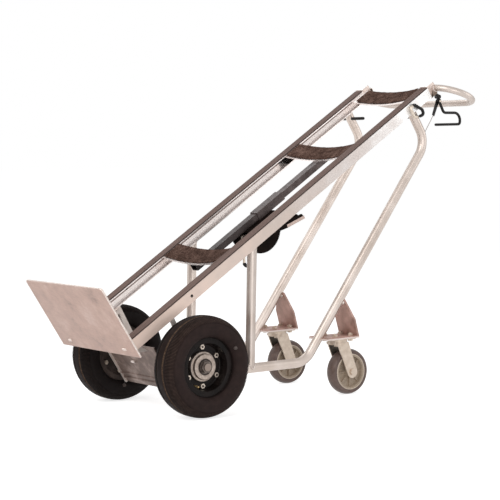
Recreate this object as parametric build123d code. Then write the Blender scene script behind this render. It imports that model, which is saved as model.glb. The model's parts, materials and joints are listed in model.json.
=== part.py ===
from build123d import *
import os
from math import cos, hypot, pi, radians, sin, sqrt, tan

os.makedirs("parts", exist_ok=True)

# Stance on four wheels
rail_angle = 32.3
wheel_radius = 132.0
wheel_track = 402.0
tyre_width = 91.0
axle_journal = 10.0
axle_core = 13.0

# Rails, measured along the rail from the axle and across from the axle
frame_width = 314.0
rail_width = 32.0
rail_depth = 30.5
rail_wall = 3.0
rail_setback = 134.0
rail_top = 1090.0
block_length = 30.0
block_lip = 8.0
block_sink = 3.0
saddle_depth = 2.4
strip_width = 30.0
strip_thickness = 3.0
strip_foot = 6.0
strip_end = 3.0
rail_hole_radius = 4.25
rail_hole_along = 97.0

# Curved crossmembers and their felt
member_below_top = 21.5
member_places = {"lower": 261.0, "middle": 770.0, "upper": rail_top - member_below_top}
member_width = 66.0
member_thickness = 4.0
member_sag = 13.0
tab_gap = 5.0
pad_thickness = 5.0
pad_margin = 3.0

# Nose plate
nose_width = 377.0
nose_depth = 213.0
nose_thickness = 6.0
nose_lap = 9.0
nose_corner = 9.0

# Axle carrier and its side plates
carrier_drop = 55.0
carrier_front = 90.0
carrier_rear = 49.0
carrier_lip = 40.0
carrier_wall = 4.0
carrier_rib = 5.0
carrier_rib_places = (14.7, 30.4)
side_plate = 5.0
plate_foot = 10.0
plate_boss = 29.0
plate_step = 9.0
window_margin = 14.0
window_foot = 40.0
window_gap = 8.0

# Side frames and posts
tube_radius = 13.0
tube_inset = 13.7
tube_wall = 2.5
tube_drop = 29.5
tube_front = 20.0
tube_heel = 388.4
tube_below_top = 76.0
tube_top = rail_top - tube_below_top
tube_standoff = 104.8
heel_bend = 65.0
shoulder_bend = 62.0
post_foot = 200.5
post_lean = 2.0

# Casters
caster_radius = 63.5
caster_width = 34.5
caster_height = 160.0
caster_trail = 34.0
caster_back = 508.0
caster_inset = 3.0
bracket_thickness = 6.0
bracket_half = 40.0
bracket_cope = 4.0
bracket_reach = 47.0
bracket_lean = 15.6
bracket_rise = 108.0
bracket_shoulder = 53.0
bracket_tip = 13.0
caster_plate_length = 90.0
caster_plate_width = 62.0
caster_plate_thickness = 3.5
caster_bolt_radius = 4.0
caster_bolt_margin = (17.0, 9.0)
race_radius = 27.0
race_height = 7.0
crown_height = 7.0
king_radius = 6.0
strap_wall = 4.0
strap_half = 20.0
strap_end = 17.0
wheel_gap = 2.5
caster_pin = 5.0
core_radius = 50.0
core_hub = 14.0
core_web = 6.0
core_rim = 7.0
core_ribs = 8
core_rib_wall = 2.5
core_rib_sink = 4.0

# Loop handle
handle_radius = 9.5
handle_wall = 2.0
handle_slope = 18.6
handle_bend = 66.3
handle_half = 214.0

# Belt bar, its slide and the ratchet
bar_width = 25.0
bar_depth = 18.0
bar_low = 228.0
bar_high = 792.0
anchor_setback = 2.0
anchor_length = 44.0
anchor_under = 0.5
anchor_clear = 3.0
anchor_slot_start = 8.0
anchor_slot_end = 36.0
anchor_slot_near = 8.0
anchor_slot_far = 15.0
slide_low = 473.0
slide_length = 105.0
slide_wall = 2.2
reel_along = 456.0
reel_radius = 67.5
reel_centre = 108.0
reel_half = 27.0
reel_wall = 3.0
base_start = 41.0
hook_back = 47.0
hook_under = 14.0
hook_pin = 4.0
spindle_drop = 24.0
spindle_radius = 9.0
tooth_count = 20
tooth_tip = 30.0
tooth_root = 25.5
strap_thickness = 2.0
strap_pitch = 2.7
strap_turns = 5

# Ratchet lever and its grip
handle_tilt = 11.0
handle_along_reel = 109.0
handle_under_reel = 30.0
handle_length = 66.0
handle_plate = 4.0
arm_half = 12.5
arm_neck = 30.0
arm_rise = 22.0
arm_boss = 5.0
tip_rise = 9.0
tip_fall = 8.0
tip_bevel = 3.0
grip_height = 18.0
grip_margin = 4.0
grip_stop = 17.0
grip_round = 5.0

# Tie eyes
eye_wire = 3.5
eye_tail = 66.7
eye_stand = 6.5
eye_back = 3.0
eye_under = 16.0
eye_bend = 7.0

# Squeeze lever, hung from the left end block, and its cable
lever_wire = 4.0
lever_eye_wall = 3.5
lever_eye_side = 0.5
lever_grip_length = 106.0
lever_bolt = 2.5
pivot_past = 4.3
pivot_under = 15.7
pin_back = 6.0
pin_drop = 11.9
crank_back = 18.5
crank_drop = 34.0
crank_bend = 14.0
knee_back = 83.5
knee_bend = 22.0
grip_drop = 67.0
grip_bend = 7.5
lug_wall = 4.0
lug_root = 12.0
link_back = 17.5
link_drop = 42.0
link_side = 5.0
link_end = 4.0
link_wall = 3.0
port_back = 50.6
port_drop = 90.6
port_radius = 3.2
cable_radius = 1.0
cable_tail = 14.0

# Clearances
running = 0.08
slip = 0.3
loose = 0.2
seat = 0.1

angle = radians(rail_angle)
rail_back = rail_setback
rail_front = rail_back + rail_depth
rail_outer = frame_width / 2
rail_inner = rail_outer - rail_width
rail_middle = (rail_outer + rail_inner) / 2
rail_centre = (rail_back + rail_front) / 2
nose_low = -wheel_radius
nose_top = nose_low + nose_thickness
nose_heel = rail_back - nose_lap
nose_tip = nose_heel + nose_depth
block_end = rail_top + block_length
block_low = rail_back - block_sink
block_high = rail_front + block_lip
handle_along = block_end - saddle_depth
slope = radians(handle_slope)
tube_side = rail_inner + tube_inset
front_x = nose_low * cos(angle) - nose_tip * sin(angle)
handle_x = handle_along * cos(angle) - rail_centre * sin(angle)
back_x = handle_x + 2 * handle_bend * cos(slope) + handle_radius
axle_x = -(front_x + back_x) / 2
axle_z = wheel_radius
rail_frame = Plane(
    origin=(axle_x, 0, axle_z),
    x_dir=(cos(angle), 0, sin(angle)),
    z_dir=(-sin(angle), 0, cos(angle)),
)


def on_rail(shape):
    """Moves a shape drawn as along, across and out from the rails into the standing frame."""
    return rail_frame.location * shape


def spot(along, out):
    """Standing X and Z of a place given along the rail and out from it."""
    x = axle_x + along * cos(angle) - out * sin(angle)
    z = axle_z + along * sin(angle) + out * cos(angle)
    return x, z


def block(x0, x1, y0, y1, z0, z1):
    middle = Pos((x0 + x1) / 2, (y0 + y1) / 2, (z0 + z1) / 2)
    return middle * Box(x1 - x0, y1 - y0, z1 - z0)


def slab_y(points, y0, y1):
    """A plate outlined in X and Z between two Y planes."""
    outline = make_face(Polyline(*[(x, y0, z) for x, z in points], close=True))
    return extrude(outline, amount=y1 - y0, dir=(0, 1, 0))


def slab_x(points, x0, x1):
    """A plate outlined in Y and Z between two X planes."""
    outline = make_face(Polyline(*[(x0, y, z) for y, z in points], close=True))
    return extrude(outline, amount=x1 - x0, dir=(1, 0, 0))


def pin_y(x, z, radius, y0, y1):
    """A round bar along Y."""
    return Pos(x, (y0 + y1) / 2, z) * Rot(90, 0, 0) * Cylinder(radius, y1 - y0)


def pin_z(x, y, radius, z0, z1):
    """A round bar along Z."""
    return Pos(x, y, (z0 + z1) / 2) * Cylinder(radius, z1 - z0)


def hexagon_y(x, z, flat, y0, y1):
    """A hexagon head along Y, by its half width across flats."""
    side = RegularPolygon(flat, 6, major_radius=False)
    return extrude(Plane((x, y0, z), x_dir=(1, 0, 0), z_dir=(0, 1, 0)) * side, amount=y1 - y0)


def hexagon_z(x, y, flat, z0, z1):
    """A hexagon head along Z, by its half width across flats."""
    return Pos(x, y, z0) * extrude(RegularPolygon(flat, 6, major_radius=False), amount=z1 - z0)


def turned(points):
    """A solid of revolution about Y from radius and Y points."""
    return revolve(make_face(Polyline(*[(r, y, 0) for r, y in points], close=True)), Axis.Y)


def folded(points, thickness):
    """Closed outline of a bent sheet, thickened to the right of its path, with mitred bends."""
    normals = []
    for (ax, ay), (bx, by) in zip(points, points[1:]):
        run = hypot(bx - ax, by - ay)
        normals.append(((by - ay) / run, (ax - bx) / run))
    before = [normals[0]] + normals
    after = normals + [normals[-1]]
    other = []
    for (px, py), (ux, uy), (vx, vy) in zip(points, before, after):
        scale = thickness / (1 + ux * vx + uy * vy)
        other.append((px + scale * (ux + vx), py + scale * (uy + vy)))
    return points + other[::-1]


def bent(points, bends, radius, wall=0):
    """A bent round bar, or a tube when a wall is given."""
    path = FilletPolyline(*points, radius=bends)
    section = Circle(radius)
    if wall:
        section = Circle(radius) - Circle(radius - wall)
    return sweep(Plane(origin=path @ 0, z_dir=path % 0) * section, path=path)


def save(name, shape):
    export_step(shape, f"parts/{name}.step")


def save_pair(name, right):
    save(f"{name}_right", right)
    save(f"{name}_left", mirror(right, about=Plane.XZ))


def group(shapes):
    return Compound(children=list(shapes))


# Rails: inward channels standing on the nose plate
channel = [
    (rail_inner, rail_back),
    (rail_outer, rail_back),
    (rail_outer, rail_front),
    (rail_inner, rail_front),
    (rail_inner, rail_front - rail_wall),
    (rail_outer - rail_wall, rail_front - rail_wall),
    (rail_outer - rail_wall, rail_back + rail_wall),
    (rail_inner, rail_back + rail_wall),
]
rail = slab_x(channel, nose_top, rail_top)
rail = rail - pin_y(rail_hole_along, rail_centre, rail_hole_radius, rail_inner, rail_outer + rail_wall)
save_pair("rail", on_rail(rail))

# Rub strips on the rail fronts
strip = block(
    nose_top + strip_foot,
    rail_top - strip_end,
    rail_middle - strip_width / 2,
    rail_middle + strip_width / 2,
    rail_front,
    rail_front + strip_thickness,
)
save_pair("rub_strip", on_rail(strip))

# Crossmembers bowed away from the load, tabs inside the channels
tab_end = rail_outer - rail_wall - tab_gap
member_top = rail_front - rail_wall


def bowed(half, level, thickness, width, tab):
    """A sheet bowed between the rails, with flat tabs at both ends when they are given."""
    low = level - thickness
    upper = ThreePointArc((0, -half, level), (0, 0, level - member_sag), (0, half, level))
    lower = ThreePointArc((0, half, low), (0, 0, low - member_sag), (0, -half, low))
    right = [Line((0, half, level), (0, half, low))]
    left = [Line((0, -half, low), (0, -half, level))]
    if tab:
        far = half + tab
        right = [Polyline((0, half, level), (0, far, level), (0, far, low), (0, half, low))]
        left = [Polyline((0, -half, low), (0, -far, low), (0, -far, level), (0, -half, level))]
    face = make_face([upper] + right + [lower] + left)
    return Pos(-width / 2, 0, 0) * extrude(face, amount=width, dir=(1, 0, 0))


for place, along in member_places.items():
    sheet = Pos(along, 0, 0) * bowed(
        rail_inner, member_top, member_thickness, member_width, tab_end - rail_inner
    )
    for side in (-1, 1):
        cope = block(rail_top - loose, block_end, rail_inner, rail_outer, block_low, block_high)
        sheet = sheet - (cope if side > 0 else mirror(cope, about=Plane.XZ))
    save(f"crossmember_{place}", on_rail(sheet))
    felt_width = member_width - 2 * pad_margin
    felt = bowed(rail_inner - slip, member_top + pad_thickness + seat, pad_thickness, felt_width, 0)
    save(f"pad_{place}", on_rail(Pos(along, 0, 0) * felt))

# Nose plate, rounded at its front corners
plate = block(nose_low, nose_top, -nose_width / 2, nose_width / 2, nose_heel, nose_tip)
plate = fillet(plate.edges().filter_by(Axis.X).group_by(Axis.Z)[-1], nose_corner)
save("nose_plate", on_rail(plate))

# Axle carrier: a folded sheet under the axle with two pressed ribs
plate_outer = tube_side - tube_radius
plate_inner = plate_outer - side_plate
carrier_half = plate_inner
carrier_path = [
    (-carrier_drop, carrier_front),
    (-carrier_drop, -carrier_rear),
    (-carrier_drop + carrier_lip, -carrier_rear),
]
carrier = slab_y(folded(carrier_path[::-1], carrier_wall), -carrier_half, carrier_half)
for rib_place in carrier_rib_places:
    rib_along = -carrier_drop + carrier_wall / 2
    rib_out = rib_place - carrier_rear
    carrier = carrier + pin_y(rib_along, rib_out, carrier_rib, -carrier_half, carrier_half)
save("axle_carrier", on_rail(carrier))

# Side plates joining rails, carrier and axle, opened by a window
plate_outline = [
    (nose_top, rail_back),
    (nose_top, rail_back - plate_foot),
    (-carrier_drop - carrier_rib, carrier_front),
    (-carrier_drop - carrier_rib, -carrier_rear),
    (-carrier_drop + carrier_lip, -carrier_rear - carrier_wall),
    (0, -plate_boss),
    (plate_boss, 0),
    (plate_boss + plate_step, rail_back),
]
axle_plate = slab_y(plate_outline, plate_inner, plate_outer)
window = [
    (nose_top + window_foot, rail_back - window_margin),
    (plate_boss - side_plate, rail_back - window_margin),
    (plate_boss / 3, plate_boss),
    (-carrier_drop + carrier_wall + window_gap, plate_boss + window_gap),
]
axle_plate = axle_plate - slab_y(window, plate_inner - 1, plate_outer + 1)
axle_plate = axle_plate - pin_y(0, 0, axle_core + seat, plate_inner - 1, plate_outer + 1)
save_pair("axle_plate", on_rail(axle_plate))

# Axle with a thick middle and two journals
wheel_y = wheel_track / 2
hub_face = 15.5
hub_back = 20.0
bearing_sink = 2.5
bearing_width = 10.0
shoulder_y = wheel_y - hub_back + bearing_sink - slip
washer_y = wheel_y + hub_face - bearing_sink + slip
washer = 2.5
nut_height = 8.0
thread_end = 3.2
axle_end = washer_y + washer + nut_height + thread_end
axle_outline = [
    (0, -axle_end),
    (axle_journal, -axle_end),
    (axle_journal, -shoulder_y),
    (axle_core, -shoulder_y),
    (axle_core, shoulder_y),
    (axle_journal, shoulder_y),
    (axle_journal, axle_end),
    (0, axle_end),
]
at_axle = Pos(axle_x, 0, axle_z)
save("axle", at_axle * turned(axle_outline))

nut = pin_y(0, 0, 1.7 * axle_journal, washer_y, washer_y + washer)
nut = nut + hexagon_y(0, 0, 1.4 * axle_journal, washer_y + washer, washer_y + washer + nut_height)
nut = nut - pin_y(0, 0, axle_journal + seat, washer_y - 1, axle_end)
nut = at_axle * nut
save("axle_nuts", group([nut, mirror(nut, about=Plane.XZ)]))

# Main wheel: pressed rim, hub, bearings, bolts and a hollow tyre, drawn about its middle plane
rim_sheet = 2.5
hub_core = 28.0
disc_plane = -3.5
disc_radius = 60.0
rim_cone = (14.0, 2.0)
rim_well = 7.5
rim_seat = 64.0
rim_flange = 75.0
rim_half = 24.0


def rim_shell(reach):
    """Half a pressed rim from the disc plane out to its bead flange."""
    rim_path = [
        (0, hub_core + loose),
        (0, disc_radius),
        (reach - rim_cone[0], disc_radius + rim_cone[1]),
        (reach - rim_well, rim_seat),
        (reach, rim_seat),
        (reach, rim_flange),
    ]
    return turned([(r, y) for y, r in folded(rim_path, rim_sheet)])


outer_shell = rim_shell(rim_half - disc_plane)
inner_shell = mirror(rim_shell(rim_half + disc_plane), about=Plane.XZ)
rim = Pos(0, disc_plane, 0) * (outer_shell + inner_shell)
disc_out = disc_plane + rim_sheet
disc_in = disc_plane - rim_sheet
bolt_circle = 50.5
bolt_count = 6
bolt_radius = 4.0
bolt_flat = 6.0
bolt_height = 5.0
bolt_end = 1.0
bolt_turns = [pi / 2 + 2 * pi * i / bolt_count for i in range(bolt_count)]
bolt_spots = [(bolt_circle * cos(turn), bolt_circle * sin(turn)) for turn in bolt_turns]
for x, z in bolt_spots:
    rim = rim - pin_y(x, z, bolt_radius + loose, disc_in - 1, disc_out + 1)
hub_flange = 39.0
hub_flange_height = 7.4
hub_boss = 33.0
bearing_radius = 21.0
outer_race = hub_face - bearing_sink - bearing_width
inner_race = hub_back - bearing_sink - bearing_width
hub = turned(
    [
        (axle_core, -inner_race),
        (bearing_radius, -inner_race),
        (bearing_radius, -hub_back),
        (hub_core, -hub_back),
        (hub_core, disc_out),
        (hub_flange, disc_out),
        (hub_flange, disc_out + hub_flange_height),
        (hub_boss, disc_out + hub_flange_height),
        (hub_boss, hub_face),
        (bearing_radius, hub_face),
        (bearing_radius, outer_race),
        (axle_core, outer_race),
    ]
)


def bearing(y0):
    """One ring bearing on its journal, from its inner side."""
    ring = pin_y(0, 0, bearing_radius - seat, y0 + seat, y0 + bearing_width)
    return ring - pin_y(0, 0, axle_journal + running, y0, y0 + bearing_width + 1)


bearings = [bearing(outer_race), mirror(bearing(inner_race), about=Plane.XZ)]
bolts = []
for x, z in bolt_spots:
    bolt = pin_y(x, z, bolt_radius, disc_in - bolt_height - bolt_end, disc_out + bolt_height)
    bolt = bolt + hexagon_y(x, z, bolt_flat, disc_out, disc_out + bolt_height)
    bolt = bolt + hexagon_y(x, z, bolt_flat, disc_in - bolt_height, disc_in)
    bolts.append(bolt)
bead = rim_seat + loose
bead_half = rim_half - loose
crown_drop = 11.0
shoulder_step = 8.0
shoulder = wheel_radius - crown_drop
shoulder_half = tyre_width / 2 - shoulder_step
belly = (bead + wheel_radius) / 2
carcass = 6.5
tyre_side = tyre_width / 2
tyre_edges = [
    Polyline(
        (rim_flange + 1, -bead_half + carcass, 0),
        (bead, -bead_half + carcass, 0),
        (bead, -bead_half, 0),
    ),
    Line((bead, -bead_half, 0), (rim_flange + 1, -bead_half, 0)),
    ThreePointArc(
        (rim_flange + 1, -bead_half, 0), (belly, -tyre_side, 0), (shoulder, -shoulder_half, 0)
    ),
    ThreePointArc((shoulder, -shoulder_half, 0), (wheel_radius, 0, 0), (shoulder, shoulder_half, 0)),
    ThreePointArc(
        (shoulder, shoulder_half, 0), (belly, tyre_side, 0), (rim_flange + 1, bead_half, 0)
    ),
    Line((rim_flange + 1, bead_half, 0), (bead, bead_half, 0)),
    Polyline(
        (bead, bead_half, 0),
        (bead, bead_half - carcass, 0),
        (rim_flange + 1, bead_half - carcass, 0),
    ),
    ThreePointArc(
        (rim_flange + 1, bead_half - carcass, 0),
        (belly, tyre_side - carcass, 0),
        (shoulder - carcass, shoulder_half - carcass, 0),
    ),
    ThreePointArc(
        (shoulder - carcass, shoulder_half - carcass, 0),
        (wheel_radius - 1.4 * carcass, 0, 0),
        (shoulder - carcass, -shoulder_half + carcass, 0),
    ),
    ThreePointArc(
        (shoulder - carcass, -shoulder_half + carcass, 0),
        (belly, -tyre_side + carcass, 0),
        (rim_flange + 1, -bead_half + carcass, 0),
    ),
]
tyre = revolve(make_face(tyre_edges), Axis.Y)
groove_depth = 5.0
groove_width = 4.0
groove_place = 13.0
for y in (-groove_place, groove_place):
    ring = [
        (wheel_radius - groove_depth, y - groove_width / 2),
        (wheel_radius + 1, y - groove_width / 2),
        (wheel_radius + 1, y + groove_width / 2),
        (wheel_radius - groove_depth, y + groove_width / 2),
    ]
    tyre = tyre - turned(ring)
at_wheel = Pos(axle_x, wheel_y, axle_z)
save_pair("tyre", at_wheel * tyre)
save_pair("rim", at_wheel * rim)
save_pair("hub", at_wheel * hub)
save_pair("bearings", group([at_wheel * b for b in bearings]))
save_pair("wheel_bolts", group([at_wheel * b for b in bolts]))

# Side frames: one tube each, along the floor, up to the shoulder and square into the rail
tube_z = axle_z - tube_drop
heel = (axle_x + tube_heel, tube_side, tube_z)
shoulder_x, shoulder_z = spot(tube_top, rail_back - tube_standoff)
end_x, end_z = spot(tube_top, rail_back)
tube_points = [
    (axle_x - tube_front, tube_side, tube_z),
    heel,
    (shoulder_x, tube_side, shoulder_z),
    (end_x, tube_side, end_z),
]
tube_bends = [heel_bend, shoulder_bend]
side_tube = bent(tube_points, tube_bends, tube_radius, tube_wall)
eye_along = tube_top - eye_back
eye_out = rail_back - eye_under
eye_x, eye_z = spot(eye_along, eye_out)
eye_hole = pin_y(eye_x, eye_z, eye_wire + seat, rail_inner - 2 * tube_radius, rail_outer + tube_radius)
side_tube = side_tube - eye_hole

# Squeeze lever geometry, hung under the left end block
pivot_along = block_end + pivot_past
pivot_out = block_low - pivot_under
pivot_x, pivot_z = spot(pivot_along, pivot_out)
lever_y = -tube_side
clevis_x = pivot_x + pin_back
clevis_z = pivot_z - pin_drop
cable_top = (clevis_x - link_back, clevis_z - link_drop)
cable_hole = (clevis_x - port_back, clevis_z - port_drop)
cable_run = hypot(cable_top[0] - cable_hole[0], cable_top[1] - cable_hole[1])
cable_dir = ((cable_hole[0] - cable_top[0]) / cable_run, (cable_hole[1] - cable_top[1]) / cable_run)
lever_eye_half = lever_wire + lever_eye_side
clevis_y = lever_y + lever_eye_half + slip
cable_y = clevis_y + link_wall / 2
cable_line = Plane(
    origin=(cable_top[0], cable_y, cable_top[1]),
    z_dir=(cable_dir[0], 0, cable_dir[1]),
)
save("side_frame_right", side_tube)
port = cable_line * Pos(0, 0, cable_run) * Cylinder(port_radius, 3 * tube_radius)
save("side_frame_left", mirror(side_tube, about=Plane.XZ) - port)

# Posts between the lower tube and the rail
lean = radians(post_lean)
post_base = Plane(
    origin=(axle_x + post_foot, tube_side, tube_z),
    z_dir=(sin(lean), 0, cos(lean)),
)
post = post_base * extrude(Circle(tube_radius) - Circle(tube_radius - tube_wall), amount=rail_top)
lower_run = Pos(axle_x + post_foot, tube_side, tube_z) * Rot(0, 90, 0) * Cylinder(
    tube_radius + loose, 8 * tube_radius
)
above = on_rail(block(0, rail_top, 0, frame_width, rail_back, rail_back + rail_top))
post = post - lower_run - above
save_pair("post", post)

# Caster brackets: a folded plate coped to the sloping tube
caster_x = axle_x + caster_back
caster_y = tube_side - caster_inset
shelf_z = caster_height
shelf_back = caster_x + bracket_reach
lean_run = tan(radians(bracket_lean))
shelf_front = heel[0]
bracket_path = [
    (shelf_front, shelf_z),
    (shelf_back, shelf_z),
    (shelf_back - bracket_rise * lean_run, shelf_z + bracket_rise),
]
bracket = slab_y(
    folded([(x, z) for x, z in bracket_path[::-1]], bracket_thickness),
    caster_y - bracket_half,
    caster_y + bracket_half,
)
bracket_front = [
    (caster_y - bracket_half, shelf_z - 1),
    (caster_y + bracket_half, shelf_z - 1),
    (caster_y + bracket_half, shelf_z + bracket_shoulder),
    (caster_y + bracket_tip, shelf_z + bracket_rise + 1),
    (caster_y - bracket_tip, shelf_z + bracket_rise + 1),
    (caster_y - bracket_half, shelf_z + bracket_shoulder),
]
bracket = bracket & slab_x(bracket_front, shelf_front, shelf_back + 1)
slant_x = shoulder_x - heel[0]
slant_z = shoulder_z - tube_z
slant = hypot(slant_x, slant_z)
tilt_run = slant_x / slant_z
cope_foot = heel[0] + bracket_cope
cope_top = 2 * bracket_rise
before = [
    (shelf_front - bracket_rise, tube_z),
    (cope_foot, tube_z),
    (cope_foot + (shelf_z + cope_top - tube_z) * tilt_run, shelf_z + cope_top),
    (shelf_front - bracket_rise, shelf_z + cope_top),
]
bracket = bracket - slab_y(before, caster_y - 2 * bracket_half, caster_y + 2 * bracket_half)
slant_tube = Plane(origin=heel, z_dir=(slant_x, 0, slant_z)) * Cylinder(
    tube_radius + loose, slant, align=(Align.CENTER, Align.CENTER, Align.MIN)
)
bracket = bracket - slant_tube
bolt_dx = caster_plate_length / 2 - caster_bolt_margin[0]
bolt_dy = caster_plate_width / 2 - caster_bolt_margin[1]
caster_bolt_spots = [(caster_x + i * bolt_dx, caster_y + j * bolt_dy) for i in (-1, 1) for j in (-1, 1)]
for x, y in caster_bolt_spots:
    bracket = bracket - pin_z(x, y, caster_bolt_radius + loose, shelf_z - 1, shelf_z + bracket_thickness + 1)
save_pair("caster_bracket", bracket)

# Caster top plate with its race and king pin
plate_low = caster_height - caster_plate_thickness
race_low = plate_low - race_height
crown_top = race_low - slip
crown_low = crown_top - crown_height
king_low = crown_low - slip - king_radius
top_plate = block(
    caster_x - caster_plate_length / 2,
    caster_x + caster_plate_length / 2,
    caster_y - caster_plate_width / 2,
    caster_y + caster_plate_width / 2,
    plate_low,
    caster_height,
)
top_plate = fillet(top_plate.edges().filter_by(Axis.Z), 6)
top_plate = top_plate + pin_z(caster_x, caster_y, race_radius, race_low, plate_low)
top_plate = top_plate + pin_z(caster_x, caster_y, king_radius, king_low, race_low)
top_plate = top_plate + pin_z(caster_x, caster_y, 1.6 * king_radius, king_low, crown_low - slip)
for x, y in caster_bolt_spots:
    top_plate = top_plate - pin_z(x, y, caster_bolt_radius + loose, plate_low - 1, caster_height + 1)
save_pair("caster_plate", top_plate)

caster_bolts = []
for x, y in caster_bolt_spots:
    top = shelf_z + bracket_thickness
    screw = pin_z(x, y, caster_bolt_radius, plate_low - 4, top + 8)
    screw = screw + hexagon_z(x, y, 1.6 * caster_bolt_radius, plate_low - 5, plate_low)
    screw = screw + hexagon_z(x, y, 1.6 * caster_bolt_radius, top, top + 6)
    caster_bolts.append(screw)
    caster_bolts.append(mirror(screw, about=Plane.XZ))
save("caster_bolts", group(caster_bolts))

# Swivelling fork: a crown under the race and two straps raked back to the wheel
fork_inner = caster_width / 2 + wheel_gap
fork_outer = fork_inner + strap_wall
wheel_x = caster_x + caster_trail
strap_run = hypot(caster_trail, crown_top - caster_radius)
side_x = strap_end * (crown_top - caster_radius) / strap_run
side_z = strap_end * caster_trail / strap_run
strap_outline = [
    (caster_x - strap_half, crown_top),
    (caster_x + strap_half, crown_top),
    (wheel_x + side_x, caster_radius + side_z),
    (wheel_x - side_x, caster_radius - side_z),
]
leg = slab_y(strap_outline, caster_y + fork_inner, caster_y + fork_outer)
leg = leg + pin_y(wheel_x, caster_radius, strap_end, caster_y + fork_inner, caster_y + fork_outer)
far_leg = Pos(0, -2 * fork_inner - strap_wall, 0) * leg
fork = block(
    caster_x - strap_half,
    caster_x + strap_half,
    caster_y - fork_outer,
    caster_y + fork_outer,
    crown_low,
    crown_top,
)
fork = fork + leg + far_leg + pin_z(caster_x, caster_y, race_radius, crown_low, crown_top)
fork = fork - pin_z(caster_x, caster_y, king_radius + running, crown_low - 1, crown_top + 1)
fork = fork - pin_y(
    wheel_x, caster_radius, caster_pin + seat, caster_y - fork_outer - 1, caster_y + fork_outer + 1
)
save_pair("caster_fork", fork)

spindle = pin_y(wheel_x, caster_radius, caster_pin, caster_y - fork_outer - 7, caster_y + fork_outer + 5)
spindle = spindle + hexagon_y(
    wheel_x, caster_radius, 1.7 * caster_pin, caster_y + fork_outer, caster_y + fork_outer + 5
)
spindle = spindle + hexagon_y(
    wheel_x, caster_radius, 1.7 * caster_pin, caster_y - fork_outer - 6, caster_y - fork_outer
)
save_pair("caster_axle", spindle)

# Caster wheel: ribbed core and a rubber tread
core_half = caster_width / 2 - 1
hub_end = caster_width / 2 + wheel_gap / 2
core = turned(
    [
        (caster_pin + running, -hub_end),
        (core_hub, -hub_end),
        (core_hub + 2, -core_web),
        (core_radius - core_rim - 2, -core_web),
        (core_radius - core_rim, -core_half),
        (core_radius, -core_half),
        (core_radius, core_half),
        (core_radius - core_rim, core_half),
        (core_radius - core_rim - 2, core_web),
        (core_hub + 2, core_web),
        (core_hub, hub_end),
        (caster_pin + running, hub_end),
    ]
)
for i in range(core_ribs):
    rib_half = core_half - core_rib_sink
    rib = block(
        core_hub - 1,
        core_radius - core_rim,
        -rib_half,
        rib_half,
        -core_rib_wall / 2,
        core_rib_wall / 2,
    )
    core = core + Rot(0, 360 * i / core_ribs, 0) * rib
tread_inner = core_radius + seat
tread_half = caster_width / 2
tread_edge = caster_radius - 5
tread = revolve(
    make_face(
        [
            Line((tread_inner, -tread_half + 1, 0), (tread_inner, tread_half - 1, 0)),
            Line((tread_inner, tread_half - 1, 0), (tread_edge, tread_half, 0)),
            ThreePointArc((tread_edge, tread_half, 0), (caster_radius, 0, 0), (tread_edge, -tread_half, 0)),
            Line((tread_edge, -tread_half, 0), (tread_inner, -tread_half + 1, 0)),
        ]
    ),
    Axis.Y,
)
at_caster = Pos(wheel_x, caster_y, caster_radius)
save_pair("caster_core", at_caster * core)
save_pair("caster_tread", at_caster * tread)

# Loop handle: a racetrack tube let into the rails' end blocks and sloping down behind them
root_x, root_z = spot(handle_along, rail_centre)
reach = 2 * handle_bend
loop_back_x = root_x + reach * cos(slope)
loop_back_z = root_z - reach * sin(slope)
handle_points = [
    (root_x, rail_inner, root_z),
    (root_x, handle_half, root_z),
    (loop_back_x, handle_half, loop_back_z),
    (loop_back_x, -handle_half, loop_back_z),
    (root_x, -handle_half, root_z),
    (root_x, -rail_inner, root_z),
]
handle_turn = handle_bend - 0.05
save("loop_handle", bent(handle_points, handle_turn, handle_radius, handle_wall))

# End blocks of the rails, each with a saddle for the loop handle
end_block = block(rail_top, block_end, rail_inner, rail_outer, block_low, block_high)
end_block = fillet(end_block.edges().filter_by(Axis.X).group_by(Axis.Z)[-1], block_lip / 4)
saddle = bent(handle_points, handle_turn, handle_radius + running)
end_block = on_rail(end_block) - saddle
save("rail_caps", group([end_block, mirror(end_block, about=Plane.XZ)]))

# Belt bar behind the crossmembers and the slide that runs on it
bar_front = member_top - member_sag - member_thickness - seat
bar_back = bar_front - bar_depth
bar_half = bar_width / 2
bar_wall = 2.0
bar = block(bar_low, bar_high, -bar_half, bar_half, bar_back, bar_front)
bar = bar - block(
    bar_low - 1,
    bar_high + 1,
    -bar_half + bar_wall,
    bar_half - bar_wall,
    bar_back + bar_wall,
    bar_front - bar_wall,
)
save("belt_bar", on_rail(bar))

slide_half = bar_half + slip + slide_wall
slide_front = bar_front + slip + slide_wall
slide_back = bar_back - slip - slide_wall
slide = block(slide_low, slide_low + slide_length, -slide_half, slide_half, slide_back, slide_front)
slide = slide - block(
    slide_low - 1,
    slide_low + slide_length + 1,
    -bar_half - slip,
    bar_half + slip,
    bar_back - slip,
    bar_front + slip,
)
save("belt_slide", on_rail(slide))

# Ratchet frame: two half-moon cheeks under a base plate, with a pin for the hook
base_low = slide_back - reel_wall
cheek_chord = sqrt(reel_radius**2 - (base_low - reel_centre) ** 2)
cheek_low = reel_centre - reel_radius
spindle_h = reel_centre - spindle_drop
cheek_face = make_face(
    [
        Line(
            (reel_along + cheek_chord, reel_half - reel_wall, base_low),
            (reel_along - cheek_chord, reel_half - reel_wall, base_low),
        ),
        ThreePointArc(
            (reel_along - cheek_chord, reel_half - reel_wall, base_low),
            (reel_along, reel_half - reel_wall, cheek_low),
            (reel_along + cheek_chord, reel_half - reel_wall, base_low),
        ),
    ]
)
cheek = extrude(cheek_face, amount=reel_wall, dir=(0, 1, 0))
base = block(
    reel_along - base_start, reel_along + cheek_chord, -reel_half, reel_half, base_low, slide_back
)
hook_along = reel_along - hook_back
hook_out = base_low - hook_under
cradle = base + cheek + mirror(cheek, about=Plane.XZ)
cradle = cradle + pin_y(hook_along, hook_out, hook_pin, -reel_half + 1, reel_half - 1)
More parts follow.
